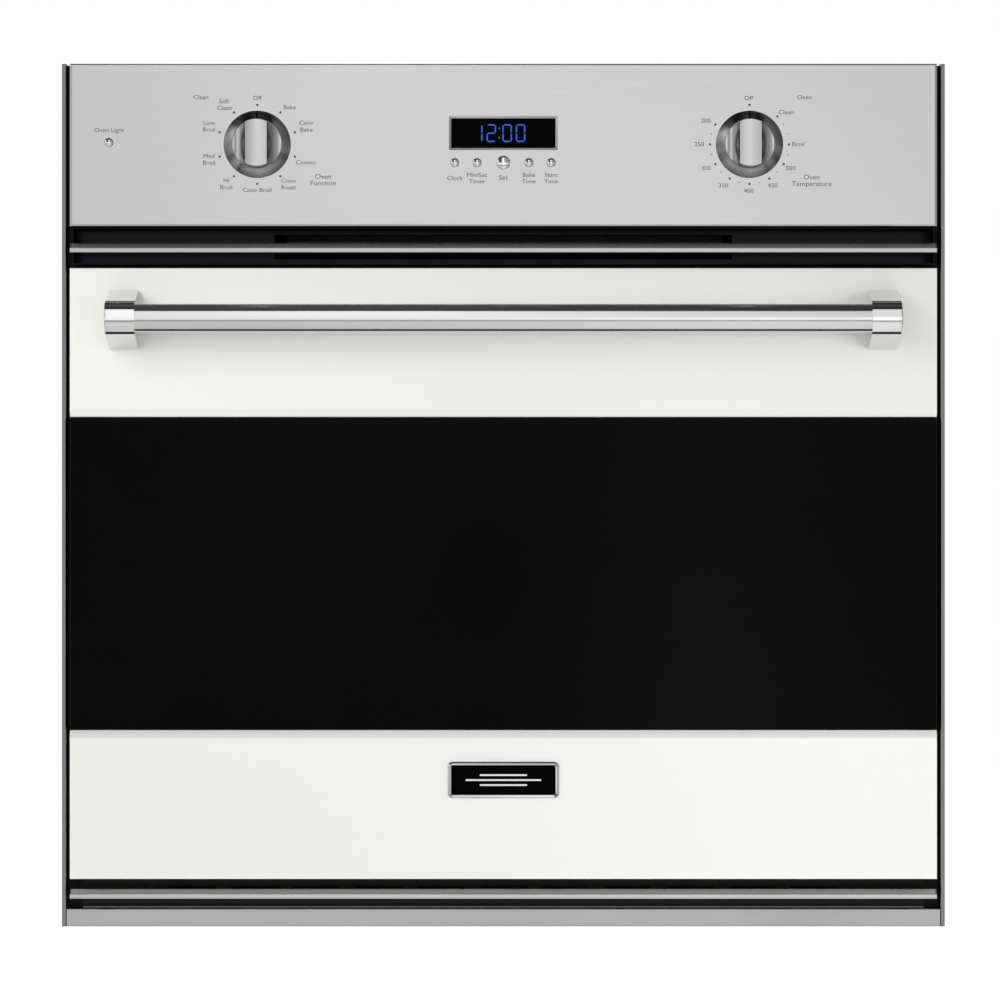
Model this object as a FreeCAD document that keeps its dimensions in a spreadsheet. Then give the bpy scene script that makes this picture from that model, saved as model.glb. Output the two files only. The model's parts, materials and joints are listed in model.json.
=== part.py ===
import FreeCAD, Part
import math
import os
import re

import Sketcher
from FreeCAD import Placement, Rotation, Vector

# A built-in single wall oven with a drop-down door.
# X is to the right, -Y is towards the user and +Z is up.  The origin is the bottom centre of the
# cabinet opening, in the plane of the cabinet's face: the base rests on z = 0, the chassis fills
# +Y, and everything in front of the cabinet is at -Y.  All lengths are in millimetres.

DIMENSIONS = (
    # outside of the face
    ("face_width", 749.3),
    ("face_top", 712.0),
    ("face_low", -20.0),
    ("lip_width", 3.75),
    ("lip_reach", 22.0),
    ("panel_reach", 47.0),
    ("panel_width", 732.0),
    ("panel_low", 572.8),
    ("panel_top", 710.3),
    ("panel_skin", 1.5),
    ("panel_edge", 2.0),
    ("trim_plate_top", -4.9),
    ("trim_plate_width", 741.0),
    ("trim_screw_x", 364.3),
    ("trim_screw_low", 90.0),
    ("trim_screw_high", 600.0),
    ("trim_hole_radius", 2.4),
    # chassis
    ("chassis_width", 716.0),
    ("chassis_height", 690.0),
    ("chassis_depth", 585.0),
    ("rear_flange", 18.0),
    ("sheet", 1.2),
    ("frame_front", -2.6),
    ("frame_back", -1.0),
    ("frame_low", -4.8),
    ("pan_height", 30.0),
    # cavity
    ("cavity_width", 643.0),
    ("cavity_low", 75.0),
    ("cavity_top", 494.0),
    ("cavity_depth", 480.0),
    ("liner_wall", 1.5),
    ("mouth_radius", 16.0),
    ("wool_width", 704.0),
    ("wool_low", 38.0),
    ("wool_top", 534.0),
    ("wool_back", 510.0),
    # door
    ("door_low", 22.0),
    ("door_top", 537.6),
    ("door_back", -9.0),
    ("skin", 1.2),
    ("skin_back", -14.0),
    ("glass_low", 147.5),
    ("glass_top", 412.0),
    ("glass_front", -44.1),
    ("glass_thickness", 5.0),
    ("bevel_height", 6.3),
    ("bevel_depth", 4.0),
    ("hinge_y", -35.0),
    ("hinge_z", 28.0),
    ("hinge_x", 339.0),
    ("hinge_pin_radius", 3.0),
    ("hinge_top", 138.0),
    ("window_half", 280.0),
    ("window_low", 170.0),
    ("window_top", 390.0),
    ("running_gap", 0.05),
    ("free_gap", 0.35),
    # handle
    ("handle_z", 493.8),
    ("handle_y", -91.5),
    ("tube_radius", 12.0),
    ("cap_inner_x", 307.7),
    ("cap_width", 25.2),
    ("cap_nose_radius", 14.9),
    ("cap_foot_height", 50.0),
    ("tube_socket", 6.0),
    # controls
    ("knob_x", 207.7),
    ("knob_z", 642.0),
    ("knob_radius", 28.35),
    ("knob_face_radius", 22.0),
    ("knob_rim_height", 9.0),
    ("knob_height", 27.0),
    ("grip_width", 18.8),
    ("grip_length", 41.5),
    ("spindle_radius", 3.0),
    ("stem_radius", 5.6),
    ("bezel_width", 0.9),
    ("bezel_height", 1.4),
    ("button_radius", 4.05),
    ("set_button_radius", 6.0),
    ("button_z", 626.5),
    ("button_pitch", 21.5),
    ("button_travel", 1.5),
    ("light_x", -332.8),
    ("light_z", 643.5),
    ("display_z", 651.5),
    ("display_width", 91.7),
    ("display_height", 28.7),
    ("display_rim", 1.9),
    # vents
    ("upper_bar_low", 550.8),
    ("bar_height", 7.9),
    ("bar_slope", 4.2),
    ("lower_bar_low", 5.2),
    ("bar_front", -46.0),
    ("bar_back", -35.8),
    # badge
    ("badge_z", 105.6),
    ("badge_width", 93.4),
    ("badge_height", 30.5),
    # inside the cavity
    ("element_radius", 3.25),
    ("element_front", 60.0),
    ("element_end", 520.0),
    ("broil_back", 410.0),
    ("broil_z", 474.0),
    ("bake_back", 440.0),
    ("bake_z", 61.0),
    ("wire_radius", 3.0),
    ("rack_x", 300.0),
    ("rack_front", 18.0),
    ("rack_back", 428.0),
    ("rack_level", 130.0),
    ("rack_pitch", 65.0),
    ("guide_x", 304.0),
    ("fan_z", 280.0),
    ("fan_radius", 75.0),
    ("fan_shaft_radius", 4.0),
    ("baffle_front", 438.0),
    # blower
    ("blower_y", 78.0),
    ("blower_z", 592.0),
    ("blower_radius", 32.0),
    ("blower_half", 200.0),
    ("conduit_radius", 11.1),
    ("conduit_x", 280.0),
    ("conduit_z", 630.0),
)
VALUES = dict(DIMENSIONS)

FLOOR_LEVELS = 5  # rack positions in the side ladders
LAMP_PLACES = (-235, 235)
LAMP_HEIGHT = 420
LAMP_RADIUS = 24
PROBE_X, PROBE_Z = -140, 452
RING_RADIUS = 100.0  # convection element
RING_LEG_X = RING_RADIUS * math.sin(math.radians(7))
RING_LEG_Z = RING_RADIUS * math.cos(math.radians(7))
REAR_SCREW_HEIGHTS = (48, 190, 350, 510, 655)
SCREW_SHANK = 1.9  # radius of a sheet-metal screw, mm
SCREW_HEAD = 4.0
SCREW_HEAD_HEIGHT = 1.4

doc = FreeCAD.newDocument("wall_oven")
sheet = doc.addObject("Spreadsheet::Sheet", "Dims")
for row, (alias, value) in enumerate(DIMENSIONS, start=1):
    sheet.set(f"A{row}", alias)
    sheet.set(f"B{row}", str(value))
    sheet.setAlias(f"B{row}", alias)
doc.recompute()

SUBPARTS = {}


def formula(text):
    """Turn a formula of alias names into an expression that reads the sheet."""
    return re.sub(
        r"[a-z_]+",
        lambda word: f"Dims.{word.group()}" if word.group() in VALUES else word.group(),
        str(text),
    )


def dim(alias):
    """A driving dimension as a number, read from the sheet."""
    return float(sheet.get(alias))


def keep(node, made):
    """Name an object as the sub-part NODE."""
    made.Label = node
    SUBPARTS[node] = made
    return made


def bind(made, **properties):
    """Bind properties to formulas; a double underscore stands for a dot."""
    for name, text in properties.items():
        made.setExpression(name.replace("__", "."), formula(text))
    return made


# ---------------------------------------------------------------- Part helpers


def box(name, x, y, z):
    """A block between pairs of formulas."""
    made = doc.addObject("Part::Box", name)
    bind(
        made,
        Length=f"({x[1]}) - ({x[0]})",
        Width=f"({y[1]}) - ({y[0]})",
        Height=f"({z[1]}) - ({z[0]})",
        Placement__Base__x=x[0],
        Placement__Base__y=y[0],
        Placement__Base__z=z[0],
    )
    return made


TURNS = {
    "X": Rotation(Vector(0, 1, 0), 90),
    "Y": Rotation(Vector(1, 0, 0), -90),
    "Z": Rotation(),
    "-Y": Rotation(Vector(1, 0, 0), 90),
}


def put(made, axis, x, y, z):
    """Point an object's own Z along AXIS and bind its place."""
    made.Placement = Placement(Vector(), TURNS[axis])
    return bind(made, Placement__Base__x=x, Placement__Base__y=y, Placement__Base__z=z)


def rod(name, axis, radius, length, x, y, z):
    """A round bar that starts at a point and runs along AXIS."""
    made = doc.addObject("Part::Cylinder", name)
    bind(made, Radius=radius, Height=length)
    return put(made, axis, x, y, z)


def ball(name, radius, x, y, z):
    made = doc.addObject("Part::Sphere", name)
    bind(made, Radius=radius)
    return put(made, "Z", x, y, z)


def cut(name, base, *tools):
    """BASE with every tool taken away."""
    tool = tools[0] if len(tools) == 1 else join(f"{name}_tools", *tools)
    made = doc.addObject("Part::Cut", name)
    made.Base, made.Tool = base, tool
    return made


def join(name, *shapes):
    """One solid from shapes that overlap."""
    made = doc.addObject("Part::MultiFuse", name)
    made.Shapes = list(shapes)
    return made


def group(name, *shapes):
    """Several solids that stay separate."""
    made = doc.addObject("Part::Compound", name)
    made.Links = list(shapes)
    return made


# ---------------------------------------------------------- PartDesign helpers


def new_body(name):
    return doc.addObject("PartDesign::Body", f"{name}_body")


def sketch(body, plane, offset="0"):
    """An empty sketch on one of the body's own origin planes, moved along its normal."""
    support = next(item for item in body.Origin.OriginFeatures if item.Role == f"{plane}_Plane")
    made = body.newObject("Sketcher::SketchObject", f"{body.Name}_sketch")
    made.AttachmentSupport = (support, [""])
    made.MapMode = "FlatFace"
    return bind(made, AttachmentOffset__Base__z=offset)


def locate(flat, item, point, across, up):
    """Bind one point of a sketch to a pair of formulas."""
    for kind, text in (("DistanceX", across), ("DistanceY", up)):
        number = flat.addConstraint(Sketcher.Constraint(kind, item, point, 1.0))
        flat.renameConstraint(number, f"{kind.lower()}_{number}")
        flat.setExpression(f"Constraints[{number}]", formula(text))


def outline(flat, corners):
    """A closed outline of straight edges through pairs of formulas."""
    first, count = flat.GeometryCount, len(corners)
    ring = [
        Vector(100 * math.cos(math.tau * step / count), 100 * math.sin(math.tau * step / count), 0)
        for step in range(count)
    ]
    for step in range(count):
        flat.addGeometry(Part.LineSegment(ring[step], ring[(step + 1) % count]), False)
    for step, (across, up) in enumerate(corners):
        following = first + (step + 1) % count
        flat.addConstraint(Sketcher.Constraint("Coincident", first + step, 2, following, 1))
        locate(flat, first + step, 1, across, up)
    return flat


def rectangle(flat, across, up):
    (left, right), (low, top) = across, up
    return outline(flat, [(left, low), (right, low), (right, top), (left, top)])


def circle(flat, across, up, radius):
    item = flat.addGeometry(Part.Circle(Vector(1, 1, 0), Vector(0, 0, 1), 1.0), False)
    locate(flat, item, 3, across, up)
    number = flat.addConstraint(Sketcher.Constraint("Radius", item, 1.0))
    flat.setExpression(f"Constraints[{number}]", formula(radius))
    return flat


def pad(body, flat, length, back=False, both=False):
    made = body.newObject("PartDesign::Pad", f"{body.Name}_pad")
    made.Profile = flat
    made.Reversed = back
    made.Midplane = both
    return bind(made, Length=length)


def pocket(body, flat, length=None, both=False, back=False):
    """Cut a sketch out of the body, right through it unless a length is given."""
    made = body.newObject("PartDesign::Pocket", f"{body.Name}_pocket")
    made.Profile = flat
    made.Midplane = both
    made.Reversed = back
    if length is None:
        made.Type = "ThroughAll"
        return made
    return bind(made, Length=length)


def revolve(body, flat):
    """Turn a sketch once round its own vertical axis."""
    made = body.newObject("PartDesign::Revolution", f"{body.Name}_revolution")
    made.Profile = flat
    made.ReferenceAxis = (flat, ["V_Axis"])
    made.Angle = 360
    return made


def polar(body, feature, plane, count):
    """Repeat a feature evenly round the normal of a plane's sketch."""
    made = body.newObject("PartDesign::PolarPattern", f"{body.Name}_polar")
    made.Originals = [feature]
    made.Axis = (plane, ["N_Axis"])
    made.Angle = 360
    made.Occurrences = count
    body.Tip = made
    return made


def row(body, feature, plane, axis, length, count):
    """Repeat a feature evenly along an axis of a sketch."""
    made = body.newObject("PartDesign::LinearPattern", f"{body.Name}_row")
    made.Originals = [feature]
    made.Direction = (plane, [axis])
    bind(made, Length=length)
    made.Occurrences = count
    body.Tip = made
    return made


def round_edges(body, radius, test):
    """Fillet the edges of the body's present shape that pass a test on their bounding box."""
    doc.recompute()
    base = body.Tip
    names = [
        f"Edge{number}"
        for number, edge in enumerate(base.Shape.Edges, start=1)
        if test(edge.BoundBox)
    ]
    made = body.newObject("PartDesign::Fillet", f"{body.Name}_fillet")
    made.Base = (base, names)
    return bind(made, Radius=radius)


def near(value, target):
    return abs(value - target) < 0.01


def at_y(place):
    """A test for edges that lie in the plane y = PLACE."""
    return lambda span: near(span.YMin, place) and near(span.YMax, place)


def along_y(least):
    """A test for straight edges that run along Y for at least LEAST."""
    return lambda span: span.YLength > least and span.XLength < 0.01 and span.ZLength < 0.01


def half(alias, extra="0"):
    """A pair of formulas, minus and plus half a width."""
    return (f"-{alias}/2 - ({extra})", f"{alias}/2 + ({extra})")


def even(size):
    """A pair of formulas, minus and plus a size."""
    return (f"-({size})", f"{size}")


# --------------------------------------------------------------------- chassis


def side_panel(node, side):
    """Folded side sheet: wall, outward front flange on the cabinet and inward rear flange."""
    body = new_body(node)
    flat = sketch(body, "XY")
    wall, outer = "chassis_width/2", "370.1"
    rear = f"chassis_depth - {2 * dim('sheet')}"
    corners = [
        (f"{wall} - sheet", "frame_back"),
        (outer, "frame_back"),
        (outer, "0"),
        (wall, "0"),
        (wall, "chassis_depth - sheet"),
        (f"{wall} - rear_flange", "chassis_depth - sheet"),
        (f"{wall} - rear_flange", rear),
        (f"{wall} - sheet", rear),
    ]
    outline(flat, [(f"{side}*({across})", up) for across, up in corners])
    pad(body, flat, "chassis_height")
    holes = sketch(body, "XZ", "lip_reach")
    for height in ("trim_screw_low", "trim_screw_high"):
        circle(holes, f"{side}*trim_screw_x", height, "trim_hole_radius")
    pocket(body, holes, "lip_reach + 2")
    rear_holes = sketch(body, "XZ", "-chassis_depth")
    for height in REAR_SCREW_HEIGHTS:
        circle(rear_holes, f"{side}*(chassis_width/2 - rear_flange/2)", str(height), str(SCREW_SHANK + 0.05))
    pocket(body, rear_holes, "4", back=True)
    slot = sketch(body, "YZ", f"{side}*chassis_width/2")
    rectangle(slot, ("380", "385"), ("600", "650"))
    cutout = pocket(body, slot, "4", both=True)
    row(body, cutout, slot, "H_Axis", "130", 11)
    return keep(node, body)


def base_pan():
    """Folded floor pan, open in front for the lower air slot."""
    outer = box("pan_block", half("chassis_width", "-1.3"), ("frame_back", "chassis_depth - 2.5"),
                ("0", "pan_height"))
    hollow = box("pan_hollow", half("chassis_width", "-2.5"), ("-5", "chassis_depth - 3.7"),
                 ("sheet", "pan_height + 1"))
    return keep("base_pan", cut("pan", outer, hollow))


def top_cover():
    """Folded lid with air slots near its rear edge."""
    outer = box("lid_block", half("chassis_width", "-1.3"), ("frame_back", "chassis_depth - 2.5"),
                ("chassis_height - 16", "chassis_height"))
    hollow = box("lid_hollow", half("chassis_width", "-2.5"), ("-5", "chassis_depth - 3.7"),
                 ("chassis_height - 17", "chassis_height - sheet"))
    slots = [
        box(f"lid_slot_{step}", (f"{-252 + 42 * step}", f"{-222 + 42 * step}"),
            ("chassis_depth - 120", "chassis_depth - 60"), ("chassis_height - 5", "chassis_height + 5"))
        for step in range(12)
    ]
    return keep("top_cover", cut("lid", outer, hollow, *slots))


def rear_panel():
    """Flat rear sheet with cooling slots, screw holes and the conduit's clearance hole."""
    body = new_body("rear_panel")
    flat = sketch(body, "XZ", "-chassis_depth")
    rectangle(flat, half("chassis_width"), ("0", "chassis_height"))
    circle(flat, "conduit_x", "conduit_z", "conduit_radius + 5")
    for side in (-1, 1):
        for height in REAR_SCREW_HEIGHTS:
            circle(flat, f"{side}*(chassis_width/2 - rear_flange/2)", str(height), str(SCREW_SHANK + 0.05))
    pad(body, flat, "sheet")
    slot = sketch(body, "XZ", "-chassis_depth")
    for left in (-280, -150, -20):
        rectangle(slot, (str(left), f"{left} + 100"), ("585", "590"))
    cutout = pocket(body, slot, "4", both=True)
    row(body, cutout, slot, "V_Axis", "70", 6)
    return keep("rear_panel", body)


def front_frame():
    """Enamelled plate round the cavity mouth, with slots for air, hinges, lock and controls."""
    body = new_body("front_frame")
    flat = sketch(body, "XZ", "-frame_front")
    rectangle(flat, half("chassis_width"), ("frame_low", "chassis_height - 1"))
    rectangle(flat, even("330"), ("586", "680"))
    rectangle(flat, even("195"), ("547", "568"))
    for side in (-1, 1):
        rectangle(flat, (f"{side}*hinge_x - 6", f"{side}*hinge_x + 6"), ("hinge_z - 9", "hinge_z + 9"))
    rectangle(flat, ("-16", "52"), ("511", "520"))
    pad(body, flat, "frame_back - frame_front", back=True)
    mouth = sketch(body, "XZ", "-frame_front")
    rectangle(mouth, half("cavity_width"), ("cavity_low", "cavity_top"))
    pocket(body, mouth, "5")
    inside = dim("cavity_width") / 2
    round_edges(body, "mouth_radius", lambda span: along_y(1)(span)
                and near(abs(span.XMin), inside))
    slot = sketch(body, "XZ", "-frame_front")
    rectangle(slot, ("-285", "-245"), ("4", "13"))
    cutout = pocket(body, slot, "5")
    row(body, cutout, slot, "H_Axis", "530", 11)
    return keep("front_frame", body)


def side_trim(node, side):
    """Stainless side trim: a flange over the chassis flange and a forward lip."""
    body = new_body(node)
    flat = sketch(body, "XY", "face_low")
    edge = "face_width/2"
    corners = [
        ("chassis_width/2 + 0.05", "frame_front"),
        (f"{edge} - lip_width", "frame_front"),
        (f"{edge} - lip_width", "-lip_reach"),
        (edge, "-lip_reach"),
        (edge, "0"),
        (f"{edge} - lip_width - 0.5", "0"),
        (f"{edge} - lip_width - 0.5", "frame_back"),
        ("chassis_width/2 + 0.05", "frame_back"),
    ]
    outline(flat, [(f"{side}*({across})", up) for across, up in corners])
    pad(body, flat, "face_top - face_low")
    holes = sketch(body, "XZ", "lip_reach")
    for height in ("trim_screw_low", "trim_screw_high"):
        circle(holes, f"{side}*trim_screw_x", height, "trim_hole_radius")
    pocket(body, holes, "lip_reach + 2")
    round_edges(body, "0.9", at_y(-dim("lip_reach")))
    return keep(node, body)


def lower_trim():
    """Stainless plate below the door, folded back along its top and bottom edges."""
    body = new_body("lower_trim")
    flat = sketch(body, "YZ")
    front, back, low, top = "-lip_reach", "frame_front", "face_low", "trim_plate_top"
    outline(flat, [(front, low), (back, low), (back, f"{low} + sheet"),
                   (f"{front} + sheet", f"{low} + sheet"), (f"{front} + sheet", f"{top} - sheet"),
                   (back, f"{top} - sheet"), (back, top), (front, top)])
    pad(body, flat, "trim_plate_width", both=True)
    front_face = -dim("lip_reach")
    round_edges(body, "1.0", lambda span: at_y(front_face)(span) and span.XLength > 10)
    return keep("lower_trim", body)


def vent_channel():
    """Black air channel between the control panel and the door."""
    outer = box("duct_block", even("panel_width/2 - 1"), ("bar_back", "frame_front"),
                ("door_top + 3.4", "panel_low - 0.4"))
    hollow = box("duct_hollow", even("panel_width/2 - 1 - sheet"), ("bar_back - 1", "frame_front + 1"),
                 ("door_top + 3.4 + sheet", "panel_low - 0.4 - sheet"))
    return keep("vent_channel", cut("duct", outer, hollow))


def vent_bar(node, low, legs):
    """Bright bar across an air slot, its upper half sloping back; LEGS carry it to the frame."""
    body = new_body(node)
    flat = sketch(body, "YZ")
    top = f"{low} + bar_height"
    outline(flat, [("bar_front", low), ("bar_back", low), ("bar_back", top),
                   ("bar_front + bar_slope", top), ("bar_front", f"{top} - bar_slope")])
    pad(body, flat, "panel_width", both=True)
    for place in legs:
        leg = sketch(body, "XZ", "-frame_front")
        rectangle(leg, (f"{place} - 2", f"{place} + 2"), (f"{low} + 1", f"{low} + bar_height - 1"))
        pad(body, leg, "frame_front - bar_back + 1")
    front = dim("bar_front")
    round_edges(body, "0.8", lambda span: at_y(front)(span) and span.XLength > 10)
    return keep(node, body)


# ---------------------------------------------------------------------- cavity


LEG_RUNS = 8  # straight runs of a heating element


def element_legs(kind):
    """The two x places where an element goes through the rear wall."""
    return {"broil": (-245.0, 245.0), "bake": (-240.0, 240.0)}[kind]


def serpentine(node, kind):
    """A sheathed element bent into parallel runs, with both ends passing out to the rear."""
    left, right = element_legs(kind)
    height, back = dim(f"{kind}_z"), dim(f"{kind}_back")
    front, leg_end = dim("element_front"), dim("element_end")
    pitch = (right - left) / (LEG_RUNS - 1)
    bend = pitch / 2
    edges, start = [], Vector(left, leg_end, height)
    for step in range(LEG_RUNS):
        forwards = step % 2 == 0
        last = step == LEG_RUNS - 1
        turn_y = (front + bend) if forwards else (leg_end if last else back - bend)
        end = Vector(start.x, turn_y, height)
        edges.append(Part.LineSegment(start, end).toShape())
        if not last:
            tip = Vector(start.x + bend, turn_y + (-bend if forwards else bend), height)
            start = Vector(start.x + pitch, turn_y, height)
            edges.append(Part.Arc(end, tip, start).toShape())
    profile = Part.Wire(
        Part.Circle(Vector(left, leg_end, height), Vector(0, 1, 0), dim("element_radius")).toShape()
    )
    made = doc.addObject("Part::Feature", node)
    made.Shape = Part.Wire(edges).makePipeShell([profile], True, False)
    return keep(node, made)


def convection_element():
    """A ring element round the fan, with two legs out to the rear."""
    radius, place, level = RING_RADIUS, dim("cavity_depth") - 18, dim("fan_z")
    thickness = dim("element_radius")
    ends = [Vector(side * RING_LEG_X, place, level + RING_LEG_Z) for side in (-1, 1)]
    loop = Part.Arc(ends[0], Vector(0, place, level - radius), ends[1]).toShape()
    section = Part.Circle(ends[0], loop.tangentAt(loop.FirstParameter), thickness).toShape()
    ring_solid = Part.Wire([loop]).makePipeShell([Part.Wire(section)], True, False)
    legs = [Part.makeCylinder(thickness, 48, end, Vector(0, 1, 0)) for end in ends]
    elbows = [Part.makeSphere(thickness, end) for end in ends]
    made = doc.addObject("Part::Feature", "convection_element")
    made.Shape = ring_solid.multiFuse(elbows + legs)
    return keep("convection_element", made)


def oven_liner():
    """Enamelled cavity box with a front flange and holes in its rear wall."""
    body = new_body("oven_liner")
    flat = sketch(body, "XZ", "-frame_back")
    rectangle(flat, half("cavity_width", "liner_wall"),
              ("cavity_low - liner_wall", "cavity_top + liner_wall"))
    pad(body, flat, "cavity_depth + liner_wall - frame_back", back=True)
    rim = sketch(body, "XZ", "-frame_back")
    rectangle(rim, half("cavity_width", "14"), ("cavity_low - 14", "cavity_top + 14"))
    pad(body, rim, "sheet", back=True)
    inside = sketch(body, "XZ", "-frame_back")
    rectangle(inside, half("cavity_width"), ("cavity_low", "cavity_top"))
    pocket(body, inside, "cavity_depth - frame_back")
    edge = dim("cavity_width") / 2
    round_edges(body, "mouth_radius", lambda span: along_y(100)(span) and near(abs(span.XMin), edge))
    holes = sketch(body, "XZ", "-cavity_depth + 5")
    circle(holes, "0", "fan_z", "fan_shaft_radius + 4")
    for place in LAMP_PLACES:
        circle(holes, str(place), str(LAMP_HEIGHT), str(LAMP_RADIUS + 0.3))
    circle(holes, str(PROBE_X), str(PROBE_Z), "3.3")
    for place in element_legs("broil"):
        circle(holes, str(place), "broil_z", "element_radius + 0.35")
    for side in (-1, 1):
        circle(holes, f"{side}*{RING_LEG_X:.3f}", f"fan_z + {RING_LEG_Z:.3f}", "element_radius + 0.35")
    pocket(body, holes, "12")
    return keep("oven_liner", body)


def insulation_blanket():
    """Mineral wool round the liner, hollow below it for the concealed bake element."""
    wool = box("wool_block", half("wool_width"), ("4", "wool_back"), ("wool_low", "wool_top"))
    hollow = box("wool_hollow", half("cavity_width", "2.2"), ("3", "cavity_depth + 2.2"),
                 ("wool_low + 10", "cavity_top + 2.2"))
    flange = box("wool_flange", half("cavity_width", "15"), ("3", "5"),
                 ("cavity_low - 15", "cavity_top + 15"))
    lock = box("wool_lock", ("-42", "82"), ("3", "90"), ("508", "wool_top + 1"))
    rods = [rod("wool_shaft", "Y", "14", "60", "0", "cavity_depth", "fan_z")]
    rods += [rod(f"wool_lamp_{n}", "Y", str(LAMP_RADIUS + 1), "60", str(place), "cavity_depth",
                 str(LAMP_HEIGHT)) for n, place in enumerate(LAMP_PLACES)]
    rods.append(rod("wool_probe", "Y", "3.4", "60", str(PROBE_X), "cavity_depth", str(PROBE_Z)))
    for kind, level in (("broil", "broil_z"), ("bake", "bake_z")):
        rods += [rod(f"wool_{kind}_{n}", "Y", "element_radius + 0.5", "60", str(place),
                     "cavity_depth", level) for n, place in enumerate(element_legs(kind))]
    rods += [rod(f"wool_ring_{n}", "Y", "element_radius + 0.5", "60", f"{side}*{RING_LEG_X:.3f}",
                 "cavity_depth", f"fan_z + {RING_LEG_Z:.3f}") for n, side in enumerate((-1, 1))]
    return keep("insulation_blanket", cut("wool", wool, hollow, flange, lock, *rods))


def oven_lamps():
    """Two domed lamp covers, each with a flange on the rear wall and a holder behind it."""
    lamps = []
    for number, place in enumerate(LAMP_PLACES):
        body = new_body(f"lamp_{number}")
        flat = sketch(body, "XY")
        outline(flat, [("0", "-18"), (str(LAMP_RADIUS), "-18"), (str(LAMP_RADIUS), "0.1"),
                       ("30", "0.1"), ("30", "1.8"), ("21", "6"), ("14", "9"), ("0", "10.5")])
        revolve(body, flat)
        body.Placement = Placement(Vector(), Rotation(Vector(1, 0, 0), 180))
        bind(body, Placement__Base__x=str(place), Placement__Base__y="cavity_depth",
             Placement__Base__z=str(LAMP_HEIGHT))
        lamps.append(body)
    return keep("oven_lamps", group("lamps", *lamps))


def temperature_probe():
    """Sensor tube through the rear wall with its fixing plate."""
    tube = rod("probe_tube", "Y", "3", "100", str(PROBE_X), "cavity_depth - 75", str(PROBE_Z))
    tip = ball("probe_tip", "3", str(PROBE_X), "cavity_depth - 75", str(PROBE_Z))
    plate = box("probe_plate", (f"{PROBE_X} - 9", f"{PROBE_X} + 9"),
                ("cavity_depth - 1.3", "cavity_depth - 0.1"), (f"{PROBE_Z} - 12", f"{PROBE_Z} + 12"))
    return keep("temperature_probe", join("probe", tube, tip, plate))


def door_gasket():
    """Woven seal round the cavity mouth, in front of the frame."""
    body = new_body("door_gasket")
    flat = sketch(body, "XZ", "-frame_front")
    rectangle(flat, half("cavity_width", "11.5"), ("cavity_low - 11.5", "cavity_top + 11.5"))
    pad(body, flat, "frame_front - door_back - free_gap")
    inner = sketch(body, "XZ", "-frame_front")
    rectangle(inner, half("cavity_width", "3"), ("cavity_low - 3", "cavity_top + 3"))
    pocket(body, inner, "4*(frame_front - door_back)", both=True)
    round_edges(body, "mouth_radius", along_y(1))
    front = dim("door_back") + dim("free_gap")
    round_edges(body, "2", at_y(front))
    return keep("door_gasket", body)


def rack_guides():
    """Wire ladders on both side walls: a support wire and a guard wire for every level."""
    sides = []
    for name, side in (("left", -1), ("right", 1)):
        wires = []
        for level in range(FLOOR_LEVELS):
            height = f"rack_level + {level}*rack_pitch"
            for label, offset in (("rail", "-2*wire_radius - 0.3"), ("guard", "14")):
                wires.append(rod(f"{name}_{label}_{level}", "Y", "wire_radius", "380",
                                 f"{side}*guide_x", "30", f"{height} + {offset}"))
        for label, place in (("front", "50"), ("rear", "390")):
            wires.append(rod(f"{name}_{label}_post", "Z", "wire_radius", "310",
                             f"{side}*(guide_x + 5.4)", place, "rack_level - 15"))
            for end, height in (("low", "rack_level + 5"), ("high", "rack_level + 280")):
                start = "guide_x + 5.4" if side > 0 else "-cavity_width/2"
                wires.append(rod(f"{name}_{label}_{end}", "X", "wire_radius",
                                 "cavity_width/2 - guide_x - 5.4", start, place, height))
        sides.append(join(f"{name}_ladder", *wires))
    return keep("rack_guides", group("ladders", *sides))


RACK_RODS = 15


def rack(node, level):
    """Welded wire shelf with a raised rear stop."""
    height = f"rack_level + {level}*rack_pitch"
    depth = "rack_back - rack_front"
    wires = []
    for name, side in (("left", -1), ("right", 1)):
        wires.append(rod(f"{node}_{name}", "Y", "wire_radius", depth, f"{side}*rack_x",
                         "rack_front", height))
        for label, place in (("front", "rack_front"), ("back", "rack_back")):
            wires.append(ball(f"{node}_{name}_{label}", "wire_radius", f"{side}*rack_x", place, height))
    for label, place in (("front", "rack_front"), ("back", "rack_back")):
        wires.append(rod(f"{node}_{label}", "X", "wire_radius", "2*rack_x", "-rack_x", place, height))
    for number, place in enumerate(("145", "300")):
        wires.append(rod(f"{node}_brace_{number}", "X", "wire_radius - 0.6", "2*rack_x", "-rack_x",
                         place, f"{height} - 2.6"))
    for number in range(RACK_RODS):
        place = f"-rack_x + {number + 1}*2*rack_x/{RACK_RODS + 1}"
        wires.append(rod(f"{node}_rod_{number}", "Y", "1.8", depth, place, "rack_front",
                         f"{height} + 0.6"))
    return keep(node, join(f"{node}_wires", *wires))


def convection_baffle():
    """Pressed cover over the fan, with a ring of intake holes and side outlets."""
    body = new_body("convection_baffle")
    flat = sketch(body, "XZ", "-baffle_front")
    rectangle(flat, even("150"), ("fan_z - 130", "fan_z + 130"))
    pad(body, flat, "cavity_depth - baffle_front - 0.2", back=True)
    round_edges(body, "20", along_y(5))
    round_edges(body, "6", at_y(dim("baffle_front")))
    hollow = sketch(body, "XZ", "-(baffle_front + sheet)")
    rectangle(hollow, even("150 - 7"), ("fan_z - 123", "fan_z + 123"))
    pocket(body, hollow)
    for radius, count in ((22, 8), (42, 14)):
        hole = sketch(body, "XZ", "-baffle_front + 1")
        circle(hole, "0", f"fan_z + {radius}", "6.5")
        ring(body, pocket(body, hole, "6"), "0", "fan_z", count)
    for side in (-1, 1):
        outlet = sketch(body, "YZ")
        rectangle(outlet, ("baffle_front + 14", "baffle_front + 30"), ("fan_z - 90", "fan_z + 90"))
        pocket(body, outlet, "200", back=side > 0)
    return keep("convection_baffle", body)


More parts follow.
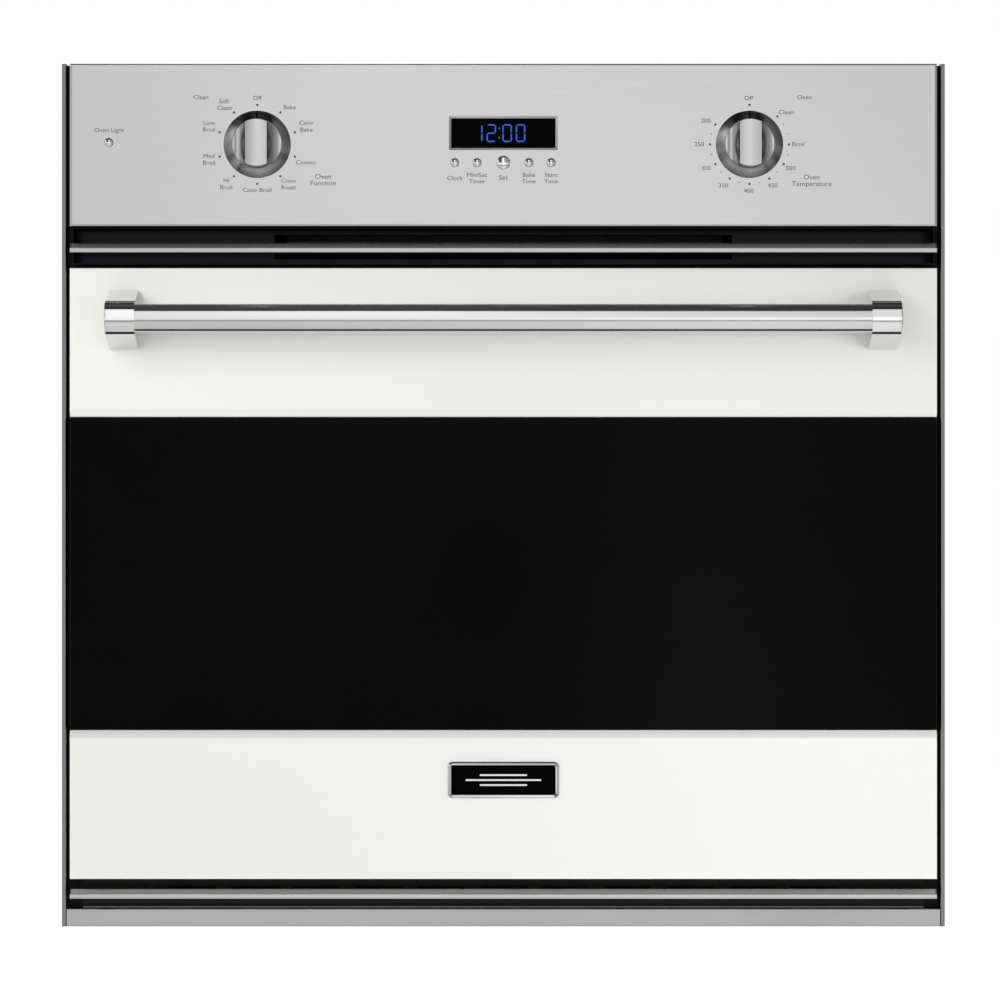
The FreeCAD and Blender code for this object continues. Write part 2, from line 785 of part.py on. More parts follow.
def ring(body, feature, across, up, count):
    """Repeat a feature round an axis along Y through a point, given as a pair of formulas."""
    pivot = sketch(body, "XZ")
    circle(pivot, across, up, "1")
    made = body.newObject("PartDesign::PolarPattern", f"{body.Name}_polar")
    made.Originals = [feature]
    hub = body.newObject("PartDesign::Line", f"{body.Name}_axis")
    hub.AttachmentSupport = (pivot, ["Edge1"])
    hub.MapMode = "AxisOfCurvature"
    made.Axis = (hub, [""])
    made.Angle = 360
    made.Occurrences = count
    body.Tip = made
    return made


def convection_fan():
    """Pressed fan with radial blades on a back plate, and its shaft."""
    body = new_body("convection_fan")
    plate = sketch(body, "XY")
    circle(plate, "0", "0", "fan_radius")
    pad(body, plate, "1.2")
    blade = sketch(body, "XY", "1.2")
    rectangle(blade, ("24", "fan_radius - 1"), ("-0.6", "0.6"))
    vane = pad(body, blade, "18")
    polar(body, vane, plate, 12)
    hub = sketch(body, "XY", "-6")
    circle(hub, "0", "0", "9")
    pad(body, hub, "14")
    shaft = sketch(body, "XY", "-52")
    circle(shaft, "0", "0", "fan_shaft_radius")
    pad(body, shaft, "56")
    put(body, "-Y", "0", "cavity_depth - 14", "fan_z")
    return keep("convection_fan", body)


def convection_motor():
    """Fan motor behind the cavity: a can with a bearing bore and a mounting plate."""
    can = rod("motor_can", "Y", "38", "48", "0", "wool_back + 6", "fan_z")
    nose = rod("motor_nose", "Y", "11", "8", "0", "wool_back - 1", "fan_z")
    plate = box("motor_plate", even("62"), ("wool_back + 4.5", "wool_back + 6.5"),
                ("fan_z - 48", "fan_z + 48"))
    bore = rod("motor_bore", "Y", "fan_shaft_radius + running_gap", "20", "0", "wool_back - 3", "fan_z")
    return keep("convection_motor", cut("motor", join("motor_solid", can, nose, plate), bore))


# ------------------------------------------------------------------------ door


def bevelled_skin(node, low, top, bevel_at_top):
    """A folded door skin: front, sides and a return, with a 45 degree bevel next to the glass."""
    body = new_body(node)
    front, back = "-panel_reach", "skin_back"
    inner, tray = "-panel_reach + skin", "glass_front + glass_thickness"
    near_glass, far = (top, low) if bevel_at_top else (low, top)
    sign = "-" if bevel_at_top else "+"
    other = "+" if bevel_at_top else "-"
    outer = [
        (back, near_glass),
        (back, far),
        (front, far),
        (front, f"{near_glass} {sign} bevel_height"),
        (f"{front} + bevel_depth", near_glass),
    ]
    hollow = [
        (f"{back} + 5", f"{near_glass} {other} 5"),
        (f"{back} + 5", f"{far} {other} skin"),
        (inner, f"{far} {other} skin"),
        (inner, f"{near_glass} {sign} (bevel_height + 0.4)"),
        (f"{inner} + bevel_depth - 0.5", f"{near_glass} {sign} skin"),
        (tray, f"{near_glass} {sign} skin"),
        (tray, f"{near_glass} {other} 5"),
    ]
    shape = sketch(body, "YZ")
    outline(shape, outer)
    pad(body, shape, "panel_width", both=True)
    inside = sketch(body, "YZ")
    outline(inside, hollow)
    pocket(body, inside, "panel_width - 2*skin", both=True)
    face = -dim("panel_reach")
    round_edges(body, "1.1", lambda span: at_y(face)(span))
    return body


def door_upper_panel():
    """White skin above the glass, which carries the handle."""
    body = bevelled_skin("door_upper_panel", "glass_top", "door_top", False)
    return keep("door_upper_panel", body)


def door_lower_panel():
    """White skin below the glass, slotted at its bottom for the hinge arms."""
    body = bevelled_skin("door_lower_panel", "door_low", "glass_low", True)
    slots = sketch(body, "XY", "door_low - 1")
    for side in (-1, 1):
        rectangle(slots, (f"{side}*hinge_x - 6", f"{side}*hinge_x + 6"), ("hinge_y - 7.5", "skin_back + 1"))
    pocket(body, slots, "4", back=True)
    return keep("door_lower_panel", body)


def door_glass():
    """Full-width outer pane with ground edges."""
    body = new_body("door_glass")
    flat = sketch(body, "XZ", "-glass_front")
    rectangle(flat, half("panel_width"), ("glass_low + 0.3", "glass_top - 0.3"))
    pad(body, flat, "glass_thickness - 0.1", back=True)
    round_edges(body, "0.6", at_y(dim("glass_front")))
    return keep("door_glass", body)


def hinge_notches(name, low, top, front, back, width):
    """Blocks that clear the two hinges."""
    return [
        box(f"{name}_{label}", (f"{side}*hinge_x - {width}", f"{side}*hinge_x + {width}"),
            (front, back), (low, top))
        for label, side in (("left", -1), ("right", 1))
    ]


def door_frame():
    """Inner steel tray behind the skins and the glass, with the window opening."""
    size = even("panel_width/2 - 1.5")
    rear = "glass_front + glass_thickness + 0.3"
    outer = box("tray_block", size, (rear, "skin_back - 0.3"), ("door_low + 1.6", "door_top - 1.6"))
    hollow = box("tray_hollow", even("panel_width/2 - 1.5 - skin"), (f"{rear} + skin", "skin_back + 1"),
                 ("door_low + 1.6 + skin", "door_top - 1.6 - skin"))
    window = box("tray_window", even("window_half"), ("-60", "0"), ("window_low", "window_top"))
    notches = hinge_notches("tray_notch", "door_low", "hinge_top + 4", "-50", "-36", "10")
    feet = hinge_notches("tray_foot", "door_low", "door_low + 6", "-50", "0", "10")
    return keep("door_frame", cut("tray", outer, hollow, window, *notches, *feet))


LINER_SCREWS = ((-355, 60), (-355, 280), (-355, 500), (355, 60), (355, 280), (355, 500),
                (-150, 527), (150, 527))


def door_liner():
    """Enamelled inner face of the door, with the window, hinge and lock openings."""
    body = new_body("door_liner")
    flat = sketch(body, "XZ", "-door_back")
    rectangle(flat, even("panel_width/2 - 1.5"), ("door_low + 1.6", "door_top - 1.6"))
    pad(body, flat, "-skin_back + door_back")
    hollow = sketch(body, "XZ", "-door_back + skin")
    rectangle(hollow, even("panel_width/2 - 1.5 - skin"),
              ("door_low + 1.6 + skin", "door_top - 1.6 - skin"))
    pocket(body, hollow, "20", back=True)
    window = sketch(body, "XZ", "-door_back")
    rectangle(window, even("window_half - 8"), ("window_low + 8", "window_top - 8"))
    pocket(body, window, "20", both=True)
    inner = dim("window_half") - 8
    round_edges(body, "12", lambda span: along_y(0.5)(span) and near(abs(span.XMin), inner))
    openings = sketch(body, "XZ", "-door_back")
    rectangle(openings, ("-10", "50"), ("511", "520"))
    for side in (-1, 1):
        rectangle(openings, (f"{side}*hinge_x - 6", f"{side}*hinge_x + 6"), ("door_low", "hinge_z + 9"))
    for across, up in LINER_SCREWS:
        circle(openings, str(across), str(up), str(SCREW_SHANK + 0.05))
    pocket(body, openings, "20", both=True)
    return keep("door_liner", body)


def inner_panes():
    """Middle and inner panes of the door window."""
    size, up = even("window_half + 10"), ("window_low - 10", "window_top + 10")
    panes = [
        box("middle_pane", size, ("-30", "-26"), up),
        box("inner_pane", size, ("door_back - skin - 4.2", "door_back - skin - 0.2"), up),
    ]
    return keep("inner_panes", group("panes", *panes))


def door_insulation():
    """Mineral wool in the door, open round the window."""
    wool = box("door_wool", even("328"), ("-37", "-15"), ("40", "508"))
    hole = box("door_wool_hole", even("window_half + 11"), ("-40", "-10"),
               ("window_low - 11", "window_top + 11"))
    return keep("door_insulation", cut("door_wool_ring", wool, hole))


def hinge_arms():
    """Fixed hinge arms with their pins and the receivers that hold them to the chassis."""
    arms = []
    for label, side in (("left", -1), ("right", 1)):
        middle = f"{side}*hinge_x"
        plate = (f"{middle} - 3", f"{middle} + 3")
        eye = rod(f"{label}_eye", "X", "6", "6", f"{middle} - 3", "hinge_y", "hinge_z")
        arm = box(f"{label}_arm", plate, ("hinge_y", "44"), ("hinge_z - 4.5", "hinge_z + 4.5"))
        pin = rod(f"{label}_pin", "X", "hinge_pin_radius", "16", f"{middle} - 8", "hinge_y", "hinge_z")
        seat = box(f"{label}_seat", (f"{middle} - 8", f"{middle} + 8"), ("frame_back", "46"),
                   ("sheet", "hinge_z - 3"))
        arms.append(join(f"{label}_hinge", eye, arm, pin, seat))
    return keep("hinge_arms", group("hinge_pair", *arms))


def spring(name, x, y, low, top, radius, wire, coils):
    """A coil spring along Z."""
    made = doc.addObject("Part::Feature", name)
    path = Part.makeHelix((top - low) / coils, top - low, radius)
    path.translate(Vector(x, y, low))
    start = Vector(x + radius, y, low)
    profile = Part.Wire(Part.Circle(start, Vector(0, 1, 0), wire).toShape())
    made.Shape = Part.Wire(path).makePipeShell([profile], True, True)
    return made


def hinge_channels():
    """Hinge channels in the door, which turn on the pins, each with its balance spring."""
    pieces = []
    for label, side in (("left", -1), ("right", 1)):
        middle = f"{side}*hinge_x"
        outer = box(f"{label}_channel_block", (f"{middle} - 8", f"{middle} + 8"),
                    ("hinge_y - 7.9", "-17"), ("door_low + 1.8", "hinge_top"))
        hollow = box(f"{label}_channel_hollow", (f"{middle} - 6.4", f"{middle} + 6.4"),
                     ("hinge_y - 6.4", "-10"), ("door_low", "hinge_top - 1.6"))
        bore = rod(f"{label}_bore", "X", "hinge_pin_radius + running_gap", "20", f"{middle} - 10",
                   "hinge_y", "hinge_z")
        pieces.append(cut(f"{label}_channel", outer, hollow, bore))
        pieces.append(spring(f"{label}_spring", side * dim("hinge_x"), -28.0, 56.0,
                             dim("hinge_top") - 3, 4.6, 0.8, 14))
    return keep("hinge_channels", group("channel_pair", *pieces))


def handle_tube():
    """Round handle tube, let into a socket in each end post."""
    reach = "cap_inner_x + tube_socket"
    outer = rod("tube_outer", "X", "tube_radius", f"2*({reach})", f"-({reach})", "handle_y", "handle_z")
    inner = rod("tube_inner", "X", "tube_radius - 1.5", f"2*({reach}) + 2", f"-({reach}) - 1",
                "handle_y", "handle_z")
    return keep("handle_tube", cut("tube", outer, inner))


def handle_cap(node, side):
    """End post: a round nose that tapers out to a tall foot on the door."""
    body = new_body(node)
    flat = sketch(body, "YZ", "cap_inner_x" if side > 0 else "-cap_inner_x - cap_width")
    nose, foot = dim("cap_nose_radius"), dim("cap_foot_height") / 2
    middle, level = dim("handle_y"), dim("handle_z")
    face = -dim("panel_reach")
    top, low = Vector(face, level + foot, 0), Vector(face, level - foot, 0)
    lean = math.asin(nose / math.hypot(face - middle, foot)) - math.atan2(foot, face - middle)
    touch = Vector(-math.sin(-lean) * nose, math.cos(lean) * nose, 0)
    upper = Vector(middle + touch.x, level + touch.y, 0)
    lower = Vector(middle + touch.x, level - touch.y, 0)
    centre = Vector(middle, level, 0)
    start, end = (math.atan2(point.y - level, point.x - middle) for point in (upper, lower))
    arc = Part.ArcOfCircle(Part.Circle(centre, Vector(0, 0, 1), nose), start, end + math.tau)
    flat.addGeometry(arc, False)
    flat.addGeometry(Part.LineSegment(lower, low), False)
    flat.addGeometry(Part.LineSegment(low, top), False)
    flat.addGeometry(Part.LineSegment(top, upper), False)
    for first, end_point, second, start_point in ((1, 2, 2, 1), (2, 2, 3, 1)):
        flat.addConstraint(Sketcher.Constraint("Coincident", first, end_point, second, start_point))
    flat.addConstraint(Sketcher.Constraint("Tangent", 0, 2, 1, 1))
    flat.addConstraint(Sketcher.Constraint("Tangent", 3, 2, 0, 1))
    locate(flat, 0, 3, "handle_y", "handle_z")
    number = flat.addConstraint(Sketcher.Constraint("Radius", 0, nose))
    flat.setExpression(f"Constraints[{number}]", formula("cap_nose_radius"))
    locate(flat, 2, 1, "-panel_reach", "handle_z - cap_foot_height/2")
    locate(flat, 2, 2, "-panel_reach", "handle_z + cap_foot_height/2")
    pad(body, flat, "cap_width")
    socket = sketch(body, "YZ", "cap_inner_x - 1" if side > 0 else "-cap_inner_x + 1")
    circle(socket, "handle_y", "handle_z", "tube_radius")
    pocket(body, socket, "tube_socket + 1", back=side > 0)
    outer_end = dim("cap_inner_x") + dim("cap_width")
    round_edges(body, "1.2", lambda span: span.XLength < 0.01 and near(abs(span.XMin), outer_end)
                and not at_y(face)(span))
    return keep(node, body)


def badge():
    """Small framed plate on the lower door skin."""
    body = new_body("badge")
    flat = sketch(body, "XZ", "panel_reach")
    rectangle(flat, half("badge_width"), ("badge_z - badge_height/2", "badge_z + badge_height/2"))
    pad(body, flat, "2.2")
    round_edges(body, "4", along_y(1))
    field = sketch(body, "XZ", "panel_reach + 2.2")
    rectangle(field, half("badge_width", "-2.6"),
              ("badge_z - badge_height/2 + 2.4", "badge_z + badge_height/2 - 2.4"))
    pocket(body, field, "0.7")
    return keep("badge", body)


def screw(name, x, y, z, length):
    """A screw driven towards the user from the plane Y, with a cross recess in its head."""
    head = rod(f"{name}_head", "Y", str(SCREW_HEAD), str(SCREW_HEAD_HEIGHT), x, y, z)
    shank = rod(f"{name}_shank", "-Y", str(SCREW_SHANK), length, x, y, z)
    depth = (f"{y} + {SCREW_HEAD_HEIGHT} - 0.8", f"{y} + {SCREW_HEAD_HEIGHT} + 1")
    recess = [
        box(f"{name}_recess_{label}", (f"{x} - {across}", f"{x} + {across}"), depth,
            (f"{z} - {up}", f"{z} + {up}"))
        for label, across, up in (("wide", 2.2, 0.4), ("tall", 0.4, 2.2))
    ]
    return cut(name, join(f"{name}_blank", head, shank), *recess)


def door_screws():
    """Screws that hold the liner to the door's tray."""
    made = [
        screw(f"liner_screw_{n}", str(across), "door_back", str(up), "7")
        for n, (across, up) in enumerate(LINER_SCREWS)
    ]
    return keep("door_screws", group("liner_screws", *made))


def chassis_screws():
    """Screws that hold the rear panel to the side panels."""
    made = [
        screw(f"{label}_rear_screw_{height}", f"{side}*(chassis_width/2 - rear_flange/2)",
              "chassis_depth", str(height), "6")
        for label, side in (("left", -1), ("right", 1))
        for height in REAR_SCREW_HEIGHTS
    ]
    return keep("chassis_screws", group("rear_screws", *made))


# -------------------------------------------------------------------- controls


BUTTONS = (
    ("clock_button", "-2*button_pitch + 2", "button_z", "button_radius"),
    ("timer_button", "-button_pitch - 0.7", "button_z", "button_radius"),
    ("set_button", "0", "button_z", "set_button_radius"),
    ("bake_time_button", "button_pitch", "button_z", "button_radius"),
    ("start_time_button", "2*button_pitch - 2.7", "button_z", "button_radius"),
    ("light_button", "light_x", "light_z", "button_radius"),
)


def control_panel():
    """Formed fascia, open behind, with holes for the knobs, buttons and display."""
    body = new_body("control_panel")
    flat = sketch(body, "XZ", "panel_reach")
    rectangle(flat, half("panel_width"), ("panel_low", "panel_top"))
    pad(body, flat, "panel_reach + frame_front - 0.3", back=True)
    hollow = sketch(body, "XZ", "panel_reach - panel_skin")
    rectangle(hollow, half("panel_width", "-panel_skin"), ("panel_low + panel_skin", "panel_top - panel_skin"))
    pocket(body, hollow)
    round_edges(body, "panel_edge", at_y(-dim("panel_reach")))
    holes = sketch(body, "XZ", "panel_reach")
    for side in (-1, 1):
        circle(holes, f"{side}*knob_x", "knob_z", "stem_radius + 0.5")
    for name, across, up, radius in BUTTONS:
        circle(holes, across, up, f"{radius} + free_gap")
    rectangle(holes, half("display_width", "-display_rim"),
              ("display_z - display_height/2 + display_rim", "display_z + display_height/2 - display_rim"))
    pocket(body, holes, "panel_skin + 3")
    return keep("control_panel", body)


def display_window():
    """Smoked clock window in a thin raised frame."""
    body = new_body("display_window")
    rim = sketch(body, "XZ", "panel_reach")
    rectangle(rim, half("display_width"), ("display_z - display_height/2", "display_z + display_height/2"))
    pad(body, rim, "1.4")
    lens = sketch(body, "XZ", "panel_reach")
    rectangle(lens, half("display_width", "-display_rim - 0.2"),
              ("display_z - display_height/2 + display_rim + 0.2",
               "display_z + display_height/2 - display_rim - 0.2"))
    pad(body, lens, "3", back=True)
    recess = sketch(body, "XZ", "panel_reach + 1.4")
    rectangle(recess, half("display_width", "-display_rim"),
              ("display_z - display_height/2 + display_rim", "display_z + display_height/2 - display_rim"))
    pocket(body, recess, "0.8")
    return keep("display_window", body)


def display_board():
    """Clock board with its display module, push switches and standoffs."""
    pieces = [
        box("board", even("80"), ("-37", "-35.4"), ("608", "684")),
        box("module", even("42"), ("-43.5", "-36.5"), ("display_z - 11", "display_z + 11")),
    ]
    for name, across, up, radius in BUTTONS[:-1]:
        pieces.append(box(f"{name}_switch", (f"{across} - 3.5", f"{across} + 3.5"),
                          ("-panel_reach + 7.6", "-36.5"), (f"{up} - 3.5", f"{up} + 3.5")))
    for number, (across, up) in enumerate(((-72, 614), (72, 614), (-72, 678), (72, 678))):
        pieces.append(rod(f"standoff_{number}", "Y", "3", "9", str(across),
                          "-panel_reach + panel_skin", str(up)))
    return keep("display_board", join("clock_board", *pieces))


def control_switches():
    """Two rotary switches on collars behind the fascia, and the light's push switch."""
    pieces = []
    front = "-panel_reach + panel_skin"
    for label, side in (("function", -1), ("thermostat", 1)):
        middle = f"{side}*knob_x"
        case = box(f"{label}_case", (f"{middle} - 22", f"{middle} + 22"), ("-36", "8"),
                   ("knob_z - 22", "knob_z + 22"))
        collar = rod(f"{label}_collar", "Y", "10", "10", middle, front, "knob_z")
        throat = rod(f"{label}_throat", "Y", "stem_radius + 0.4", "14", middle, "-50", "knob_z")
        bore = rod(f"{label}_bore_hole", "Y", "spindle_radius + running_gap", "45", middle, "-50",
                   "knob_z")
        pieces.append(cut(f"{label}_switch", join(f"{label}_solid", case, collar), throat, bore))
    case = box("light_case", ("light_x - 6", "light_x + 6"), ("-panel_reach + 7.6", "-20"),
               ("light_z - 6", "light_z + 6"))
    clip = box("light_clip", ("light_x - 6", "light_x + 6"), (front, "-30"), ("light_z + 5.8", "light_z + 9"))
    pieces.append(join("light_switch", case, clip))
    return keep("control_switches", group("switches", *pieces))


def knob_bezels():
    """Bright rings on the fascia round the knobs."""
    rings = []
    for label, side in (("left", -1), ("right", 1)):
        outer = rod(f"{label}_ring_outer", "-Y", "knob_radius + 0.35 + bezel_width", "bezel_height",
                    f"{side}*knob_x", "-panel_reach", "knob_z")
        inner = rod(f"{label}_ring_inner", "-Y", "knob_radius + 0.35", "4", f"{side}*knob_x",
                    "-panel_reach + 1", "knob_z")
        rings.append(cut(f"{label}_ring", outer, inner))
    return keep("knob_bezels", group("rings", *rings))


def knob(node, side):
    """Control knob: conical rim, recessed face, raised grip bar, stem and spindle."""
    body = new_body(node)
    profile = sketch(body, "XZ")
    outline(profile, [
        ("0", "-24"), ("spindle_radius", "-24"), ("spindle_radius", "-8.6"),
        ("stem_radius", "-8.6"), ("stem_radius", "0.5"), ("knob_radius", "0.5"),
        ("knob_radius", "2.5"), ("knob_radius - 3.4", "knob_rim_height"),
        ("knob_face_radius + 0.8", "knob_rim_height"), ("knob_face_radius - 0.8", "knob_rim_height - 3"),
        ("0", "knob_rim_height - 3"),
    ])
    revolve(body, profile)
    grip = sketch(body, "XY", "knob_rim_height - 3.5")
    rectangle(grip, half("grip_width"), half("grip_length"))
    pad(body, grip, "knob_height - knob_rim_height + 3.5")
    for flank in (-1, 1):
        flute = sketch(body, "XZ")
        circle(flute, f"{flank}*(grip_width/2 + 10)", "knob_rim_height + 12.1", "12")
        pocket(body, flute, "grip_length + 10", both=True)
    put(body, "-Y", f"{side}*knob_x", "-panel_reach", "knob_z")
    return keep(node, body)


def button(node, across, up, radius):
    """Domed push button with a retaining flange and a stem to its switch."""
    body = new_body(node)
    profile = sketch(body, "XZ")
    outline(profile, [
        ("0", "-5.7"), ("2.2", "-5.7"), ("2.2", "-2.9"), (f"{radius} + 1", "-2.9"),
        (f"{radius} + 1", "-1.8"), (radius, "-1.8"), (radius, "1.3"),
        (f"{radius} - 0.5", "2.0"), (f"{radius}*0.6", "2.6"), ("0", "2.9"),
    ])
    revolve(body, profile)
    put(body, "-Y", across, "-panel_reach", up)
    return keep(node, body)


# ------------------------------------------------------------------- machinery


def blower_housing():
    """Cross-flow blower casing over the cavity, with its outlet at the front frame."""
    body = new_body("blower_housing")
    outer = sketch(body, "YZ")
    outline(outer, [("frame_back", "545"), ("124", "545"), ("124", "638"), ("34", "638"),
                    ("34", "570"), ("frame_back", "570")])
    pad(body, outer, "2*blower_half", both=True)
    inner = sketch(body, "YZ")
    outline(inner, [("frame_back - 1", "546.2"), ("122.8", "546.2"), ("122.8", "636.8"),
                    ("35.2", "636.8"), ("35.2", "568.8"), ("frame_back - 1", "568.8")])
    pocket(body, inner, "2*blower_half - 2*sheet", both=True)
    intake = sketch(body, "XY", "630")
    rectangle(intake, even("blower_half - 12"), ("70", "116"))
    pocket(body, intake, "20", back=True)
    bores = sketch(body, "YZ")
    circle(bores, "blower_y", "blower_z", "fan_shaft_radius + running_gap")
    pocket(body, bores, "2*blower_half + 10", both=True)
    return keep("blower_housing", body)


BLOWER_BLADES = 24


def blower_wheel():
    """Drum impeller: two end discs, a ring of blades and a through shaft."""
    body = new_body("blower_wheel")
    plane = sketch(body, "XY")
    circle(plane, "0", "0", "blower_radius")
    pad(body, plane, "1.5")
    blade = sketch(body, "XY")
    rectangle(blade, ("blower_radius - 9", "blower_radius - 1"), ("-0.6", "0.6"))
    vane = pad(body, blade, "2*blower_half - 24")
    polar(body, vane, plane, BLOWER_BLADES)
    end = sketch(body, "XY", "2*blower_half - 24")
    circle(end, "0", "0", "blower_radius")
    pad(body, end, "1.5")
    shaft = sketch(body, "XY", "-12")
    circle(shaft, "0", "0", "fan_shaft_radius")
    pad(body, shaft, "2*blower_half + 30")
    put(body, "X", "-blower_half + 12", "blower_y", "blower_z")
    return keep("blower_wheel", body)


def blower_motor():
    """Blower motor beside the casing."""
    can = rod("blower_can", "X", "30", "46", "blower_half + 4", "blower_y", "blower_z")
    foot = box("blower_foot", ("blower_half + 2", "blower_half + 50"), ("blower_y - 20", "blower_y + 20"),
               ("wool_top + 0.5", "blower_z - 20"))
    bore = rod("blower_bore", "X", "fan_shaft_radius + running_gap", "36", "blower_half - 1",
               "blower_y", "blower_z")
    return keep("blower_motor", cut("blower_drive", join("blower_solid", can, foot), bore))


def latch_motor():
    """Geared motor of the door lock."""
    case = box("lock_case", ("-35", "35"), ("30", "76"), ("519", "543"))
    bore = rod("lock_bore", "Z", "3.05", "16", "0", "50", "518")
    return keep("latch_motor", cut("lock_drive", case, bore))


def latch_hook():
    """Lock hook and its spindle; it lies along the frame until the lock is driven."""
    body = new_body("latch_hook")
    flat = sketch(body, "XY", "513")
    outline(flat, [("-9", "42"), ("60.8", "42"), ("60.8", "36"), ("66", "36"), ("66", "50"),
                   ("60", "56"), ("-9", "58")])
    pad(body, flat, "3")
    spindle = sketch(body, "XY", "513")
    circle(spindle, "0", "50", "3")
    pad(body, spindle, "20")
    return keep("latch_hook", body)


def junction_box():
    """Supply connection box with a knock-out for the conduit in its rear wall."""
    outer = box("supply_block", ("conduit_x - 45", "conduit_x + 45"), ("540", "chassis_depth - sheet"),
                ("conduit_z - 38", "conduit_z + 38"))
    hollow = box("supply_hollow", ("conduit_x - 43.8", "conduit_x + 43.8"), ("541.2", "chassis_depth - sheet - 2"),
                 ("conduit_z - 36.8", "conduit_z + 36.8"))
    hole = rod("supply_hole", "Y", "conduit_radius", "20", "conduit_x", "570", "conduit_z")
    return keep("junction_box", cut("supply_box", outer, hollow, hole))


def build():
    side_panel("left_side_panel", -1)
    side_panel("right_side_panel", 1)
    base_pan()
    top_cover()
    rear_panel()
    front_frame()
    side_trim("left_side_trim", -1)
    side_trim("right_side_trim", 1)
    lower_trim()
    vent_channel()
    vent_bar("upper_vent_bar", "upper_bar_low", ())
    vent_bar("lower_vent_bar", "lower_bar_low", ("-300", "300"))
    oven_liner()
    insulation_blanket()
    serpentine("broil_element", "broil")
    serpentine("bake_element", "bake")
    convection_element()
    convection_baffle()
    convection_fan()
    convection_motor()
    oven_lamps()
    temperature_probe()
    rack_guides()
    rack("lower_rack", 1)
    rack("upper_rack", 3)
    door_gasket()
    door_upper_panel()
    door_lower_panel()
    door_glass()
    door_frame()
    door_liner()
    inner_panes()
    door_insulation()
    hinge_arms()
    hinge_channels()
    handle_tube()
    handle_cap("left_handle_cap", -1)
    handle_cap("right_handle_cap", 1)
    badge()
    door_screws()
    chassis_screws()
    control_panel()
    display_window()
    display_board()
    control_switches()
    knob_bezels()
    knob("function_knob", -1)
    knob("temperature_knob", 1)
    for name, across, up, radius in BUTTONS:
        button(name, across, up, radius)
    blower_housing()
    blower_wheel()
    blower_motor()
    latch_motor()
    latch_hook()
    junction_box()


def export():
    """Check every object, then write each sub-part to its own STEP file."""
    doc.recompute()
    failed = [item.Label for item in doc.Objects if {"Invalid", "Error"} & set(item.State)]
    if failed:
        raise RuntimeError(f"objects that failed to recompute: {failed}")
    os.makedirs("parts", exist_ok=True)
    for node, made in SUBPARTS.items():
        shape = made.Shape
        if shape.isNull() or not shape.isValid() or not shape.Solids:
            raise RuntimeError(f"{node} has no valid solid")
        shape.exportStep(f"parts/{node}.step")
        print(f"{node}: {len(shape.Solids)} solids, {shape.Volume / 1000:.1f} cm3")
    print(len(SUBPARTS), "sub-parts")


build()
export()
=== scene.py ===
import json
import math

import bmesh
import bpy
from mathutils import Matrix, Vector


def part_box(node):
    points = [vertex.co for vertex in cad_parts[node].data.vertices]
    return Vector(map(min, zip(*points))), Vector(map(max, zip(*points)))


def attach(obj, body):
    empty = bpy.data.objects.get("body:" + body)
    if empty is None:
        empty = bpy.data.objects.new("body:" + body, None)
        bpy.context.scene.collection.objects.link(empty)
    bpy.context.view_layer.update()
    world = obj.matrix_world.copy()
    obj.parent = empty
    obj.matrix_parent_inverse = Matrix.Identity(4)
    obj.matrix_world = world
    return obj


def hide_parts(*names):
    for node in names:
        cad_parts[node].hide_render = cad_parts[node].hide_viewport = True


# A built-in wall oven.  Metres; X to the right, -Y towards the user, +Z up; the origin is the
# bottom centre of the cabinet opening, in the plane of the cabinet's face.

MM = 0.001
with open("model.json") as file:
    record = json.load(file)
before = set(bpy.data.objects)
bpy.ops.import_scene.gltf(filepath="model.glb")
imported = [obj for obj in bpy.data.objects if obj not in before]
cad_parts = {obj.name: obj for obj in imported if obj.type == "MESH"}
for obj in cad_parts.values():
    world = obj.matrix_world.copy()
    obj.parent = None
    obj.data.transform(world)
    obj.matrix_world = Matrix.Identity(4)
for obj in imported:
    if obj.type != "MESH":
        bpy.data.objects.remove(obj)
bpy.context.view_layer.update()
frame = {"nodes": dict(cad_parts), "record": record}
scene = bpy.context.scene


# ------------------------------------------------------------------ places


def low(node):
    return Vector(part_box(node)[0])


def high(node):
    return Vector(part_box(node)[1])


def middle(node):
    return (low(node) + high(node)) / 2


PANEL_FRONT = low("control_panel").y
DOOR_FRONT = low("door_lower_panel").y
FLOOR = low("lower_trim").z - 0.5 * MM
INK_THICKNESS = 0.06 * MM


# ---------------------------------------------------------------- materials


def new_material(name):
    """A node material with its principled shader."""
    made = bpy.data.materials.new(name)
    made.use_nodes = True
    return made, made.node_tree, made.node_tree.nodes["Principled BSDF"]


def add(tree, kind, **settings):
    """Add a node; settings name its properties or its input sockets."""
    node = tree.nodes.new(kind)
    for name, value in settings.items():
        if hasattr(node, name):
            setattr(node, name, value)
        else:
            node.inputs[name.replace("_", " ")].default_value = value
    return node


def place(tree, stretch=(1, 1, 1)):
    """Object coordinates in metres, scaled along each axis."""
    coordinates = add(tree, "ShaderNodeTexCoord")
    mapping = add(tree, "ShaderNodeMapping")
    mapping.inputs["Scale"].default_value = stretch
    tree.links.new(coordinates.outputs["Object"], mapping.inputs["Vector"])
    return mapping.outputs["Vector"]


def noise(tree, scale, detail=2.0, stretch=(1, 1, 1), roughness=0.5):
    made = add(tree, "ShaderNodeTexNoise", Scale=scale, Detail=detail, Roughness=roughness)
    tree.links.new(place(tree, stretch), made.inputs["Vector"])
    return made.outputs["Fac"]


def ramp(tree, factor, stops):
    """Colours (or greys) along a factor; each stop is (position, value)."""
    made = add(tree, "ShaderNodeValToRGB")
    while len(made.color_ramp.elements) < len(stops):
        made.color_ramp.elements.new(0.5)
    for element, (position, value) in zip(made.color_ramp.elements, stops):
        element.position = position
        element.color = (*value, 1) if isinstance(value, tuple) else (value, value, value, 1)
    tree.links.new(factor, made.inputs["Fac"])
    return made.outputs["Color"]


